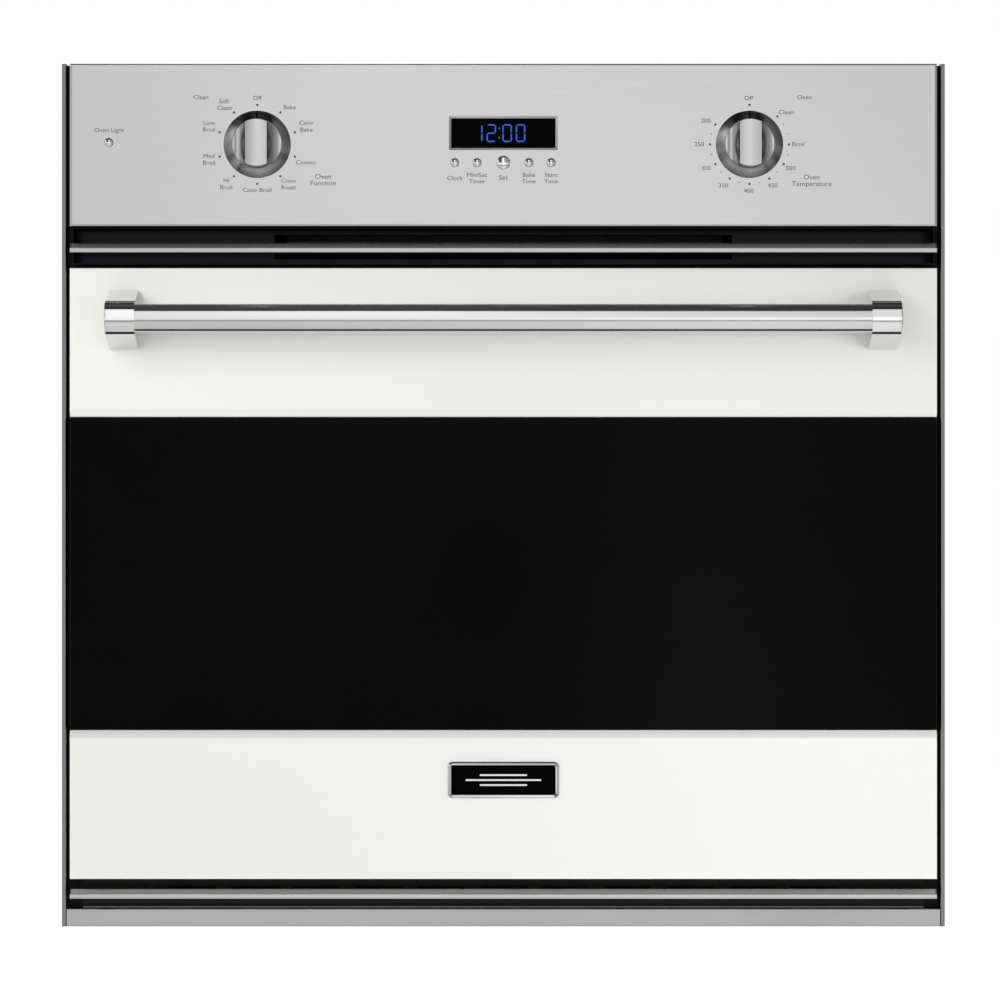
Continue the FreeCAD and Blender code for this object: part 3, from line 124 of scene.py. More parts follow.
def vary(tree, shader, socket, factor, least, most):
    """Drive a number socket of the shader between two values."""
    made = add(tree, "ShaderNodeMapRange")
    made.inputs["To Min"].default_value = least
    made.inputs["To Max"].default_value = most
    tree.links.new(factor, made.inputs["Value"])
    tree.links.new(made.outputs["Result"], shader.inputs[socket])


def bump(tree, shader, height, strength, distance):
    made = add(tree, "ShaderNodeBump", Strength=strength, Distance=distance)
    tree.links.new(height, made.inputs["Height"])
    tree.links.new(made.outputs["Normal"], shader.inputs["Normal"])


def tint(tree, shader, factor, darkest, lightest):
    """Vary the base colour between two colours."""
    tree.links.new(ramp(tree, factor, [(0.3, darkest), (0.7, lightest)]), shader.inputs["Base Color"])


def shade(colour, amount):
    return tuple(max(0.0, min(1.0, part * amount)) for part in colour)


def brushed_metal(name, colour, roughness, along="X", grain=0.12, spread=0.06):
    """Metal with fine brushed lines along one axis and faint broad unevenness."""
    made, tree, shader = new_material(name)
    fine = 2600.0
    stretch = {"X": (0.012, 1, 1), "Y": (1, 0.012, 1), "Z": (1, 1, 0.012)}[along]
    lines = noise(tree, fine, 3, stretch, 0.7)
    broad = noise(tree, 6, 2)
    shader.inputs["Metallic"].default_value = 1.0
    tint(tree, shader, lines, shade(colour, 1 - grain / 2), shade(colour, 1 + grain / 2))
    vary(tree, shader, "Roughness", broad, roughness - spread, roughness + spread)
    bump(tree, shader, lines, grain, 0.02 * MM)
    return made


def cast_metal(name, colour, roughness, scale=400.0, strength=0.1):
    """Plated or polished metal with slight waviness and smears."""
    made, tree, shader = new_material(name)
    smears = noise(tree, 35, 4)
    shader.inputs["Metallic"].default_value = 1.0
    tint(tree, shader, smears, shade(colour, 0.96), colour)
    vary(tree, shader, "Roughness", smears, roughness * 0.7, roughness * 1.4)
    bump(tree, shader, noise(tree, scale, 2), strength, 0.01 * MM)
    return made


def galvanised(name, colour, roughness):
    """Zinc-coated sheet with a fine spangle."""
    made, tree, shader = new_material(name)
    cells = add(tree, "ShaderNodeTexVoronoi", Scale=110.0)
    tree.links.new(place(tree), cells.inputs["Vector"])
    flakes = add(tree, "ShaderNodeSeparateColor")
    tree.links.new(cells.outputs["Color"], flakes.inputs["Color"])
    shader.inputs["Metallic"].default_value = 1.0
    tint(tree, shader, flakes.outputs["Red"], shade(colour, 0.95), shade(colour, 1.03))
    vary(tree, shader, "Roughness", flakes.outputs["Green"], roughness - 0.04, roughness + 0.04)
    bump(tree, shader, noise(tree, 60, 3), 0.12, 0.1 * MM)
    return made


def enamel(name, colour, roughness, peel=0.05, coat=0.6, reflection=0.5):
    """Smooth gloss enamel with a trace of orange peel and uneven tone."""
    made, tree, shader = new_material(name)
    shader.inputs["Specular IOR Level"].default_value = reflection
    shader.inputs["Coat Weight"].default_value = coat
    shader.inputs["Coat Roughness"].default_value = 0.06
    broad = noise(tree, 3.5, 2)
    tint(tree, shader, broad, shade(colour, 0.985), colour)
    vary(tree, shader, "Roughness", noise(tree, 40, 3), roughness * 0.8, roughness * 1.2)
    bump(tree, shader, noise(tree, 420, 2), peel, 0.03 * MM)
    return made


def speckled_enamel(name, colour, speck):
    """Vitreous cavity enamel: dark ground with fine light specks."""
    made, tree, shader = new_material(name)
    specks = ramp(tree, noise(tree, 900, 2, roughness=0.7), [(0.60, colour), (0.68, speck)])
    tree.links.new(specks, shader.inputs["Base Color"])
    vary(tree, shader, "Roughness", noise(tree, 30, 3), 0.16, 0.3)
    bump(tree, shader, noise(tree, 260, 2), 0.12, 0.05 * MM)
    return made


def paint(name, colour, roughness, texture=0.2):
    """Satin powder coat or moulded plastic."""
    made, tree, shader = new_material(name)
    tint(tree, shader, noise(tree, 18, 3), shade(colour, 0.85), shade(colour, 1.15))
    vary(tree, shader, "Roughness", noise(tree, 60, 2), roughness - 0.06, roughness + 0.06)
    bump(tree, shader, noise(tree, 1500, 2), texture, 0.04 * MM)
    return made


def dull_black(name, colour):
    """Matt black paint that swallows light, a little dusty."""
    made, tree, shader = new_material(name)
    shader.inputs["Specular IOR Level"].default_value = 0.12
    tint(tree, shader, noise(tree, 25, 4), colour, shade(colour, 2.2))
    vary(tree, shader, "Roughness", noise(tree, 90, 2), 0.55, 0.75)
    bump(tree, shader, noise(tree, 1500, 2), 0.2, 0.04 * MM)
    return made


def trim_strip(name, colour, along, shade_from):
    """Brushed strip whose parts behind a given plane in Y get a flat black, non-metal base: painted shade
    in the recess behind its face.
    """
    made = brushed_metal(name, colour, 0.3, along, 0.1)
    tree = made.node_tree
    shader = tree.nodes["Principled BSDF"]
    coordinates = add(tree, "ShaderNodeTexCoord")
    split = add(tree, "ShaderNodeSeparateXYZ")
    tree.links.new(coordinates.outputs["Object"], split.inputs["Vector"])
    behind = add(tree, "ShaderNodeMath", operation="GREATER_THAN")
    behind.inputs[1].default_value = shade_from
    tree.links.new(split.outputs["Y"], behind.inputs[0])
    bare = shader.inputs["Base Color"].links[0].from_socket
    # Painted shade: a near-black base colour on the parts behind the plane.
    mixed = add(tree, "ShaderNodeMixRGB")
    mixed.inputs["Color2"].default_value = (0.002, 0.002, 0.002, 1)
    tree.links.new(behind.outputs["Value"], mixed.inputs["Fac"])
    tree.links.new(bare, mixed.inputs["Color1"])
    tree.links.new(mixed.outputs["Color"], shader.inputs["Base Color"])
    metallic = add(tree, "ShaderNodeMath", operation="SUBTRACT")
    metallic.inputs[0].default_value = 1.0
    tree.links.new(behind.outputs["Value"], metallic.inputs[1])
    tree.links.new(metallic.outputs["Value"], shader.inputs["Metallic"])
    shader.inputs["Specular IOR Level"].default_value = 0.1
    return made


def opaque_glass(name, colour, reflection):
    """Ceramic-backed black glass with faint wipe marks."""
    made, tree, shader = new_material(name)
    shader.inputs["Specular IOR Level"].default_value = reflection
    tint(tree, shader, noise(tree, 5, 3), shade(colour, 0.7), shade(colour, 1.3))
    vary(tree, shader, "Roughness", noise(tree, 9, 4, (1, 1, 3)), 0.03, 0.09)
    bump(tree, shader, noise(tree, 2.5, 1), 0.02, 0.2 * MM)
    return made


def clear_glass(name, colour, alpha):
    made, tree, shader = new_material(name)
    shader.inputs["Transmission Weight"].default_value = 0.9
    shader.inputs["IOR"].default_value = 1.5
    shader.inputs["Alpha"].default_value = alpha
    tint(tree, shader, noise(tree, 8, 2), shade(colour, 0.95), colour)
    vary(tree, shader, "Roughness", noise(tree, 25, 3), 0.02, 0.08)
    return made


def mineral_wool(name, colour):
    made, tree, shader = new_material(name)
    fibres = noise(tree, 320, 6, (1, 1, 0.25), 0.8)
    tint(tree, shader, fibres, shade(colour, 0.55), colour)
    shader.inputs["Roughness"].default_value = 0.95
    shader.inputs["Sheen Weight"].default_value = 0.3
    bump(tree, shader, fibres, 0.8, 1.0 * MM)
    return made


def braid(name, colour):
    """Woven glass-fibre sleeve."""
    made, tree, shader = new_material(name)
    waves = []
    for slant in (1.0, -1.0):
        wave = add(tree, "ShaderNodeTexWave", Scale=90.0, Distortion=0.6)
        wave.bands_direction = "DIAGONAL"
        tree.links.new(place(tree, (slant, 1, 1)), wave.inputs["Vector"])
        waves.append(wave.outputs["Fac"])
    both = add(tree, "ShaderNodeMath", operation="MULTIPLY")
    for wave, socket in zip(waves, both.inputs):
        tree.links.new(wave, socket)
    tint(tree, shader, both.outputs["Value"], shade(colour, 0.5), colour)
    shader.inputs["Roughness"].default_value = 0.9
    bump(tree, shader, both.outputs["Value"], 0.6, 0.4 * MM)
    return made


def ink(name, colour, reflection=0.5):
    """Flat printed or filled-in black."""
    made, tree, shader = new_material(name)
    shader.inputs["Specular IOR Level"].default_value = reflection
    tint(tree, shader, noise(tree, 500, 2), shade(colour, 0.9), shade(colour, 1.1))
    vary(tree, shader, "Roughness", noise(tree, 80, 2), 0.45, 0.6)
    return made


def glow(name, colour, strength):
    """Lit display segments, a little uneven in brightness."""
    made, tree, shader = new_material(name)
    shader.inputs["Base Color"].default_value = (0, 0, 0, 1)
    shader.inputs["Emission Strength"].default_value = strength
    colours = ramp(tree, noise(tree, 300, 1), [(0.3, shade(colour, 0.75)), (0.7, colour)])
    tree.links.new(colours, shader.inputs["Emission Color"])
    return made


def make_materials():
    """One material for each of the record's slots."""
    return {
        "chassis_steel": galvanised("chassis_steel", (0.58, 0.59, 0.60), 0.42),
        "black_enamel": enamel("black_enamel", (0.004, 0.004, 0.0045), 0.25, 0.08, 0.02, 0.12),
        "cavity_enamel": speckled_enamel("cavity_enamel", (0.035, 0.042, 0.06), (0.32, 0.34, 0.38)),
        "stainless": brushed_metal("stainless", (0.40, 0.40, 0.395), 0.34, "X", 0.10),
        "black_paint": dull_black("black_paint", (0.003, 0.003, 0.003)),
        "bar_metal": brushed_metal("bar_metal", (0.44, 0.44, 0.44), 0.2, "X", 0.08),
        "panel_metal": brushed_metal("panel_metal", (0.50, 0.50, 0.50), 0.17, "X", 0.05, 0.02),
        "display_glass": opaque_glass("display_glass", (0.001, 0.001, 0.001), 0.01),
        "circuit_board": paint("circuit_board", (0.02, 0.14, 0.06), 0.35),
        "black_plastic": paint("black_plastic", (0.02, 0.02, 0.02), 0.5, 0.3),
        "polished_chrome": cast_metal("polished_chrome", (0.78, 0.78, 0.785), 0.05),
        "mineral_wool": mineral_wool("mineral_wool", (0.74, 0.68, 0.5)),
        "rack_wire": cast_metal("rack_wire", (0.74, 0.74, 0.75), 0.18, 900, 0.15),
        "element_sheath": cast_metal("element_sheath", (0.10, 0.10, 0.105), 0.5, 500, 0.4),
        "motor_steel": galvanised("motor_steel", (0.36, 0.37, 0.38), 0.4),
        "lamp_glass": clear_glass("lamp_glass", (0.95, 0.95, 0.92), 0.9),
        "woven_seal": braid("woven_seal", (0.30, 0.30, 0.29)),
        "hinge_steel": cast_metal("hinge_steel", (0.5, 0.5, 0.51), 0.35, 500, 0.2),
        "screw_steel": cast_metal("screw_steel", (0.5, 0.5, 0.5), 0.25, 500, 0.2),
        "white_enamel": enamel("white_enamel", (0.90, 0.893, 0.855), 0.22),
        "black_glass": opaque_glass("black_glass", (0.001, 0.001, 0.001), 0.035),
        "clear_glass": clear_glass("clear_glass", (0.86, 0.9, 0.88), 0.85),
        "satin_handle": brushed_metal("satin_handle", (0.64, 0.64, 0.64), 0.16, "X", 0.05, 0.02),
        "badge_plate": cast_metal("badge_plate", (0.62, 0.62, 0.63), 0.16),
        "knob_metal": brushed_metal("knob_metal", (0.52, 0.52, 0.515), 0.2, "Z", 0.06, 0.03),
        "fan_steel": galvanised("fan_steel", (0.55, 0.55, 0.56), 0.35),
    }


MATERIALS = make_materials()
# Both trims carry painted shade, black from 1.5 mm behind their fronts.
STRIP = trim_strip("side_strip", (0.22, 0.22, 0.22), "Z", low("left_side_trim").y + 1.5 * MM)
PLINTH = trim_strip("plinth_strip", (0.42, 0.42, 0.42), "X", low("lower_trim").y + 1.5 * MM)
KNOB_RIM = brushed_metal("knob_rim_metal", (0.36, 0.36, 0.36), 0.2, "Z", 0.06, 0.03)
BEZEL = cast_metal("bezel_metal", (0.58, 0.58, 0.58), 0.2)
INK = ink("legend_ink", (0.035, 0.035, 0.037))
POINTER_INK = ink("pointer_ink", (0.004, 0.004, 0.004), 0.1)
BLUE_GLOW = glow("display_glow", (0.012, 0.13, 0.72), 1.1)
COLON_GLOW = glow("colon_glow", (0.07, 0.09, 0.13), 1.0)
DISPLAY_RIM = brushed_metal("display_rim", (0.42, 0.42, 0.42), 0.2, "X", 0.08)


def dress_frame():
    """Give every CAD node the material of its slot."""
    slots = {part["node"]: part["material_slot"] for part in frame["record"]["subparts"]}
    for node, item in frame["nodes"].items():
        item.data.materials.clear()
        item.data.materials.append(MATERIALS[slots[node]])
    special = {"left_side_trim": STRIP, "right_side_trim": STRIP, "lower_trim": PLINTH,
               "knob_bezels": BEZEL}
    for node, material in special.items():
        frame["nodes"][node].data.materials[0] = material


# ------------------------------------------------------------ mesh helpers


def piece(name, mesh, material, body, replaced=(), smooth=30):
    """Put a finished mesh in the scene, riding on a body."""
    made = bpy.data.objects.new(name, mesh)
    scene.collection.objects.link(made)
    mesh.materials.clear()
    mesh.materials.append(material)
    if smooth:
        for face in mesh.polygons:
            face.use_smooth = True
        mesh.set_sharp_from_angle(angle=math.radians(smooth))
    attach(made, body)
    if replaced:
        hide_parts(*replaced)
    return made


def mesh_from(name, build):
    """A mesh from a function that fills a bmesh."""
    work = bmesh.new()
    build(work)
    bmesh.ops.recalc_face_normals(work, faces=work.faces)
    mesh = bpy.data.meshes.new(name)
    work.to_mesh(mesh)
    work.free()
    return mesh


def lathe(work, profile, centre, segments=96):
    """Turn (radius, height) points round an axis that points at the user from CENTRE."""
    rings = []
    for radius, height in profile:
        if radius < 1e-7:
            rings.append([work.verts.new(centre + Vector((0, -height, 0)))])
            continue
        rings.append([
            work.verts.new(centre + Vector((
                radius * math.cos(math.tau * step / segments), -height,
                radius * math.sin(math.tau * step / segments))))
            for step in range(segments)
        ])
    for first, second in zip(rings, rings[1:]):
        for step in range(segments):
            following = (step + 1) % segments
            corners = [first[step % len(first)], first[following % len(first)],
                       second[following % len(second)], second[step % len(second)]]
            unique = list(dict.fromkeys(corners))
            if len(unique) > 2:
                work.faces.new(unique)


def arc(centre, radius, start, end, steps):
    """Points (across, up) along an arc, angles in degrees."""
    return [
        (centre[0] + radius * math.cos(math.radians(start + (end - start) * step / steps)),
         centre[1] + radius * math.sin(math.radians(start + (end - start) * step / steps)))
        for step in range(steps + 1)
    ]


def rounded(half_width, half_height, radius, steps=6):
    """Outline of a rounded rectangle about the origin, anticlockwise."""
    points = []
    for quarter, (side, rise) in enumerate(((1, 1), (-1, 1), (-1, -1), (1, -1))):
        centre = (side * (half_width - radius), rise * (half_height - radius))
        points += arc(centre, radius, 90 * quarter, 90 * (quarter + 1), steps)
    return points


def stack(work, layers, centre, closed=False):
    """Join outlines of equal length into walls; each layer is (outline, height towards the user)."""
    rings = [
        [work.verts.new(centre + Vector((across, -height, up))) for across, up in outline]
        for outline, height in layers
    ]
    pairs = list(zip(rings, rings[1:]))
    if closed:
        pairs.append((rings[-1], rings[0]))
    count = len(rings[0])
    for first, second in pairs:
        for step in range(count):
            following = (step + 1) % count
            work.faces.new((first[step], first[following], second[following], second[step]))
    if not closed:
        work.faces.new(rings[0])
        work.faces.new(rings[-1])


def soften(item, width, segments=2, angle=35):
    """A small bevel on the sharp edges, with its normals kept clean."""
    made = item.modifiers.new("soften", "BEVEL")
    made.width = width
    made.segments = segments
    made.limit_method = "ANGLE"
    made.angle_limit = math.radians(angle)
    made.harden_normals = True


# ------------------------------------------------------------------ legends


CAP_SHARE = 0.73  # height of capitals as a share of the typeface's size
LETTER_STRETCH = 1.1


def lettering(work, text, across, up, cap_height, at):
    """Add one line of wide-set text, centred on (across, up) mm, with its capitals CAP_HEIGHT mm high."""
    curve = bpy.data.curves.new("line", "FONT")
    curve.body = text
    curve.align_x = "CENTER"
    curve.size = cap_height * MM / CAP_SHARE
    curve.resolution_u = 3
    curve.extrude = INK_THICKNESS / 2
    holder = bpy.data.objects.new("line", curve)
    flat = bpy.data.meshes.new_from_object(holder)
    turn = Matrix.Translation(at + Vector((across, 0, up - cap_height * 0.40)) * MM)
    turn @= Matrix.Translation((0, -INK_THICKNESS / 2, 0))
    stretch = Matrix.Diagonal((LETTER_STRETCH, 1, 1, 1))
    flat.transform(turn @ stretch @ Matrix.Rotation(math.radians(90), 4, "X"))
    work.from_mesh(flat)
    bpy.data.meshes.remove(flat)
    bpy.data.objects.remove(holder)
    bpy.data.curves.remove(curve)


def dot(work, across, up, radius, at):
    lathe(work, [(0, 0), (radius * MM, 0), (radius * MM, INK_THICKNESS), (0, INK_THICKNESS)],
          at + Vector((across * MM, 0, up * MM)), 16)


SMALL, TITLE = 3.7, 4.2  # height of capitals, mm
DOT_RING = 33.3  # radius of the dots round a knob, mm

FUNCTION_WORDS = (
    ("Off", 0, 39.0), ("Bake", 27.4, 31.2), ("Conv", 41.4, 18.0), ("Bake", 41.4, 12.2),
    ("Convec", 41.0, -15.4), ("Conv", 26.4, -30.8), ("Roast", 26.4, -36.5), ("Conv Broil", 0, -38.7),
    ("Hi", -26.2, -30.6), ("Broil", -26.2, -36.4), ("Med", -40.7, -10.0), ("Broil", -40.7, -15.7),
    ("Low", -40.7, 18.0), ("Broil", -40.7, 12.4), ("Self-", -27.6, 36.2), ("Clean", -27.6, 30.6),
    ("Clean", -47.5, 39.6),
)
TEMPERATURE_WORDS = (
    ("Off", -0.7, 38.9), ("Clean", 31.0, 27.0), ("Broil", 41.2, 0), ("500", 34.8, -20.2),
    ("450", 19.6, -34.9), ("400", -0.6, -39.3), ("350", -22.0, -34.9), ("300", -36.7, -20.2),
    ("250", -42.4, 0), ("200", -36.8, 19.8), ("Oven", 46.4, 39.6),
)
FUNCTION_DOTS = tuple(36 * step for step in range(10))
TEMPERATURE_DOTS = (0, 45, 90, 120, 150, 180, 210, 240, 270, 300)
MINOR_DOTS = (60, 75, 105, 135, 165, 195, 225, 255, 285)


def panel_legends():
    """Printed words and dots on the control panel."""
    face = Vector((0, PANEL_FRONT, 0))
    knobs = {name: Vector((middle(name).x, PANEL_FRONT, middle(name).z))
             for name in ("function_knob", "temperature_knob")}
    buttons = {name: middle(f"{name}_button") for name in ("clock", "timer", "set", "bake_time",
                                                           "start_time", "light")}

    def build(work):
        for words, knob in ((FUNCTION_WORDS, "function_knob"), (TEMPERATURE_WORDS, "temperature_knob")):
            for text, across, up in words:
                lettering(work, text, across, up, SMALL, knobs[knob])
        for angles, knob, radius in ((FUNCTION_DOTS, "function_knob", 1.0),
                                     (TEMPERATURE_DOTS, "temperature_knob", 1.0),
                                     (MINOR_DOTS, "temperature_knob", 0.45)):
            for angle in angles:
                turn = math.radians(angle)
                dot(work, DOT_RING * math.sin(turn), DOT_RING * math.cos(turn), radius, knobs[knob])
        for text, rise in (("Oven", -27.3), ("Function", -32.9)):
            lettering(work, text, 55.7, rise, TITLE, knobs["function_knob"])
        for text, rise in (("Oven", -27.9), ("Temperature", -33.4)):
            lettering(work, text, 52.5, rise, TITLE, knobs["temperature_knob"])
        below = (("clock", "Clock", -13.1), ("timer", "Min/Sec", -10.5), ("timer", "Timer", -15.9),
                 ("set", "Set", -12.7), ("bake_time", "Bake", -10.5), ("bake_time", "Time", -15.9),
                 ("start_time", "Start", -10.5), ("start_time", "Time", -15.9),
                 ("light", "Oven Light", 10.4))
        for button, text, rise in below:
            centre = buttons[button]
            size = TITLE if button == "set" else SMALL
            lettering(work, text, centre.x / MM, centre.z / MM + rise, size, face)

    piece("panel_legends", mesh_from("panel_legends", build), INK, "chassis", smooth=0)


# ------------------------------------------------------------------- display


def display():
    """Clock window: thin metal frame, recessed black glass and lit segments."""
    centre, half = middle("display_window"), (high("display_window") - low("display_window")) / 2
    face = Vector((centre.x, PANEL_FRONT, centre.z))
    rim, proud, foot, recess = 1.9 * MM, 1.4 * MM, 0.35 * MM, 0.1 * MM
    outer_corner, inner_corner, lens_back = 0.6 * MM, 0.3 * MM, -2.5 * MM

    def frame_ring(work):
        outer = rounded(half.x, half.z, outer_corner, 3)
        inner = rounded(half.x - rim, half.z - rim, inner_corner, 3)
        stack(work, [(outer, 0), (outer, proud), (inner, foot), (inner, 0)], face, closed=True)

    def lens(work):
        outline = rounded(half.x - rim, half.z - rim, inner_corner, 3)
        stack(work, [(outline, lens_back), (outline, recess)], face)

    ring = piece("display_frame", mesh_from("display_frame", frame_ring), DISPLAY_RIM, "chassis",
                 ("display_window",))
    soften(ring, 0.15 * MM)
    piece("display_lens", mesh_from("display_lens", lens), MATERIALS["display_glass"], "chassis")
    digits(face, recess)


SEGMENTS = {"1": "bc", "2": "abged", "0": "abcdef"}
DIGIT_WIDTH, DIGIT_HEIGHT, STROKE, SEGMENT_GAP = 8.0, 15.0, 1.1, 0.35  # mm
DIGIT_PLACES = (("1", -21.6), ("2", -10.2), ("0", 3.2), ("0", 14.5))


def segment(work, start, end, at):
    """One lit bar with pointed ends between two points in mm."""
    start, end = Vector(start), Vector(end)
    run = (end - start).normalized()
    side = Vector((-run.y, run.x)) * STROKE / 2
    gap = run * SEGMENT_GAP
    tip = run * STROKE / 2
    first, last = start + gap, end - gap
    outline = [first, first + tip - side, last - tip - side, last, last - tip + side, first + tip + side]
    stack(work, [([point * MM for point in outline], 0),
                 ([point * MM for point in outline], INK_THICKNESS)], at)


def digits(face, recess):
    """12:00 in seven-segment figures."""
    right, top = (DIGIT_WIDTH - STROKE) / 2, (DIGIT_HEIGHT - STROKE) / 2
    lines = {"a": ((-right, top), (right, top)), "b": ((right, top), (right, 0)),
             "c": ((right, 0), (right, -top)), "d": ((right, -top), (-right, -top)),
             "e": ((-right, -top), (-right, 0)), "f": ((-right, 0), (-right, top)),
             "g": ((-right, 0), (right, 0))}
    at = face + Vector((0, -recess, 0))

    def figures(work):
        for figure, across in DIGIT_PLACES:
            for name in SEGMENTS[figure]:
                segment(work, *lines[name], at + Vector((across * MM, 0, 0)))

    def colon(work):
        for rise in (-3.9, 3.9):
            dot(work, -3.6, rise, 0.8, at)

    piece("clock_digits", mesh_from("clock_digits", figures), BLUE_GLOW, "chassis",
          smooth=0)
    piece("clock_colon", mesh_from("clock_colon", colon), COLON_GLOW, "chassis",
          smooth=0)


# --------------------------------------------------------------------- knobs

KNOB_RADIUS, KNOB_FACE, KNOB_HEIGHT = 28.3, 20.9, 26.5  # mm
GRIP_HALF, FLUTE_END, KNOB_FLOOR = 9.1, 19.4, 7.6
RIM_TOP, RIM_FOOT = (KNOB_FACE + 0.3, 9.2), (28.1, 2.9)  # (radius, height) of the cone's ends, mm


def knob_rim(work, at):
    """Conical rim with a thin dark seam at its foot."""
    profile = [(0, 1.0), (26.0, 1.0), (27.6, 0.8), (KNOB_RADIUS, 1.3), (KNOB_RADIUS, 2.4), RIM_FOOT]
    profile += [RIM_TOP, (KNOB_FACE, 9.1), (KNOB_FACE - 0.1, KNOB_FLOOR - 1), (0, KNOB_FLOOR - 1)]
    lathe(work, [(radius * MM, height * MM) for radius, height in profile], at, 128)


def grip_height(across):
    """Height of the fluted face above the panel at a distance from the middle, mm."""
    reach = abs(across)
    if reach <= GRIP_HALF:
        return KNOB_HEIGHT - 0.5 * (reach / GRIP_HALF) ** 2
    if reach >= FLUTE_END:
        return KNOB_FLOOR + 0.4
    share = (reach - GRIP_HALF) / (FLUTE_END - GRIP_HALF)
    return KNOB_FLOOR + 0.4 + (KNOB_HEIGHT - 0.9 - KNOB_FLOOR) * (1 - math.sqrt(1 - (1 - share) ** 2))


def grip_columns():
    """Places across the knob where the face changes, mm, from the middle to the edge."""
    flat = [GRIP_HALF * step / 6 for step in range(7)]
    flute = [GRIP_HALF + (FLUTE_END - GRIP_HALF) * (step / 14) ** 1.6 for step in range(1, 15)]
    edge = FLUTE_END + 0.01
    face = [edge + (KNOB_FACE - 0.6 - edge) * math.sin(math.pi / 2 * step / 8) for step in range(1, 9)]
    right = flat + flute + face
    return [-place for place in reversed(right[1:])] + right


def knob_grip(work, at):
    """Raised grip bar between two flutes, cut off by the round face."""
    rows = 24
    columns = grip_columns()
    edge = KNOB_FACE - 0.35

    def limit(across, height):
        reach = edge - 0.05 * (height - KNOB_FLOOR)
        return math.sqrt(max(reach * reach - across * across, 0.01))

    grid = []
    for across in columns:
        height = grip_height(across)
        span = limit(across, height)
        grid.append([
            work.verts.new(at + Vector((across, -height, -math.cos(math.pi * step / rows) * span)) * MM)
            for step in range(rows + 1)
        ])
    for first, second in zip(grid, grid[1:]):
        for step in range(rows):
            work.faces.new((first[step], first[step + 1], second[step + 1], second[step]))
    border = [column[0] for column in grid] + [column[-1] for column in reversed(grid)]
    foot = []
    for vertex in border:
        across, rise = (vertex.co.x - at.x) / MM, (vertex.co.z - at.z) / MM
        scale = edge / max(math.hypot(across, rise), 0.1)
        foot.append(work.verts.new(at + Vector((across * scale, -(KNOB_FLOOR - 0.6), rise * scale)) * MM))
    count = len(border)
    for step in range(count):
        following = (step + 1) % count
        work.faces.new((border[step], border[following], foot[following], foot[step]))
    work.faces.new(foot)


def knob_pointer(work, at):
    """Black line let into the top of the rim."""
    half_width, lift = 0.95, 0.06
    inner, outer = Vector(RIM_TOP), Vector(RIM_FOOT)
    slope = (outer - inner).normalized()
    normal = Vector((-slope.y, slope.x)) * lift
    ends = [inner + slope * 0.2 + normal, outer - slope * 0.1 + normal]
    outline = []
    for radius, height in ends:
        outline.append([Vector((side * half_width, -height, radius)) * MM for side in (-1, 1)])
    under = Vector((0, 0.3, -0.3)) * MM
    top = [outline[0][0], outline[0][1], outline[1][1], outline[1][0]]
    upper = [work.verts.new(at + point) for point in top]
    lower = [work.verts.new(at + point + under) for point in top]
    work.faces.new(upper)
    work.faces.new(lower)
    for step in range(4):
        following = (step + 1) % 4
        work.faces.new((upper[step], upper[following], lower[following], lower[step]))


def knobs():
    """Both knobs: turned rim, fluted grip and pointer line."""
    for node in ("function_knob", "temperature_knob"):
        at = Vector((middle(node).x, PANEL_FRONT, middle(node).z))
        piece(f"{node}_rim", mesh_from(f"{node}_rim", lambda work: knob_rim(work, at)),
              KNOB_RIM, node, (node,), smooth=28)
        grip = piece(f"{node}_grip", mesh_from(f"{node}_grip", lambda work: knob_grip(work, at)),
                     MATERIALS["knob_metal"], node, smooth=28)
        soften(grip, 0.35 * MM, 2, 40)
        piece(f"{node}_pointer", mesh_from(f"{node}_pointer", lambda work: knob_pointer(work, at)),
              POINTER_INK, node, smooth=0)


# -------------------------------------------------------------------- buttons


def buttons():
    """Domed chrome push buttons, each held behind the fascia by a flange wider than its hole."""
    flange, flange_back, flange_front = 1.0 * MM, -2.4 * MM, -1.8 * MM
    for node in ("clock_button", "timer_button", "set_button", "bake_time_button", "start_time_button",
                 "light_button"):
        centre = middle(node)
        at = Vector((centre.x, PANEL_FRONT, centre.z))
        radius = (high(node).x - low(node).x) / 2 - flange
        rise = PANEL_FRONT - low(node).y
        dome = [(radius * math.cos(math.radians(turn)), rise * math.sin(math.radians(turn)))
                for turn in range(0, 91, 6)]
        profile = [(0, flange_back), (radius + flange, flange_back), (radius + flange, flange_front),
                   (radius, flange_front)] + dome
        piece(f"{node}_cap", mesh_from(f"{node}_cap", lambda work: lathe(work, profile, at, 64)),
              MATERIALS["polished_chrome"], node, (node,))


# ---------------------------------------------------------------------- badge


def badge():
    """Framed plate with a black field and a plain line pattern."""
    centre, half = middle("badge"), (high("badge") - low("badge")) / 2
    face = Vector((centre.x, DOOR_FRONT, centre.z))
    rim, corner, proud = 2.6 * MM, 3.6 * MM, 2.0 * MM
    field_back, field_front, line_front = 0.1 * MM, 0.9 * MM, 1.25 * MM

    def frame_ring(work):
        outer = rounded(half.x, half.z, corner)
        inner = rounded(half.x - rim, half.z - rim, corner - 1.6 * MM)
        crest = rounded(half.x - rim * 0.45, half.z - rim * 0.45, corner - 0.7 * MM)
        stack(work, [(outer, 0), (outer, proud * 0.55), (crest, proud), (inner, proud * 0.7), (inner, 0)],
              face, closed=True)

    def field(work):
        outline = rounded(half.x - rim, half.z - rim, corner - 1.6 * MM)
        stack(work, [(outline, field_back), (outline, field_front)], face)

    def motif(work):
        for rise, reach in ((4.2, 20.0), (0.0, 32.0), (-4.2, 20.0)):
            bar = [(across, up + rise * MM) for across, up in rounded(reach * MM, 0.7 * MM, 0.69 * MM, 4)]
            stack(work, [(bar, field_front), (bar, line_front)], face)

    piece("badge_frame", mesh_from("badge_frame", frame_ring), MATERIALS["badge_plate"], "door",
          ("badge",))
    piece("badge_field", mesh_from("badge_field", field), MATERIALS["display_glass"], "door")
    piece("badge_lines", mesh_from("badge_lines", motif), MATERIALS["badge_plate"], "door")


# --------------------------------------------------------------------- gasket


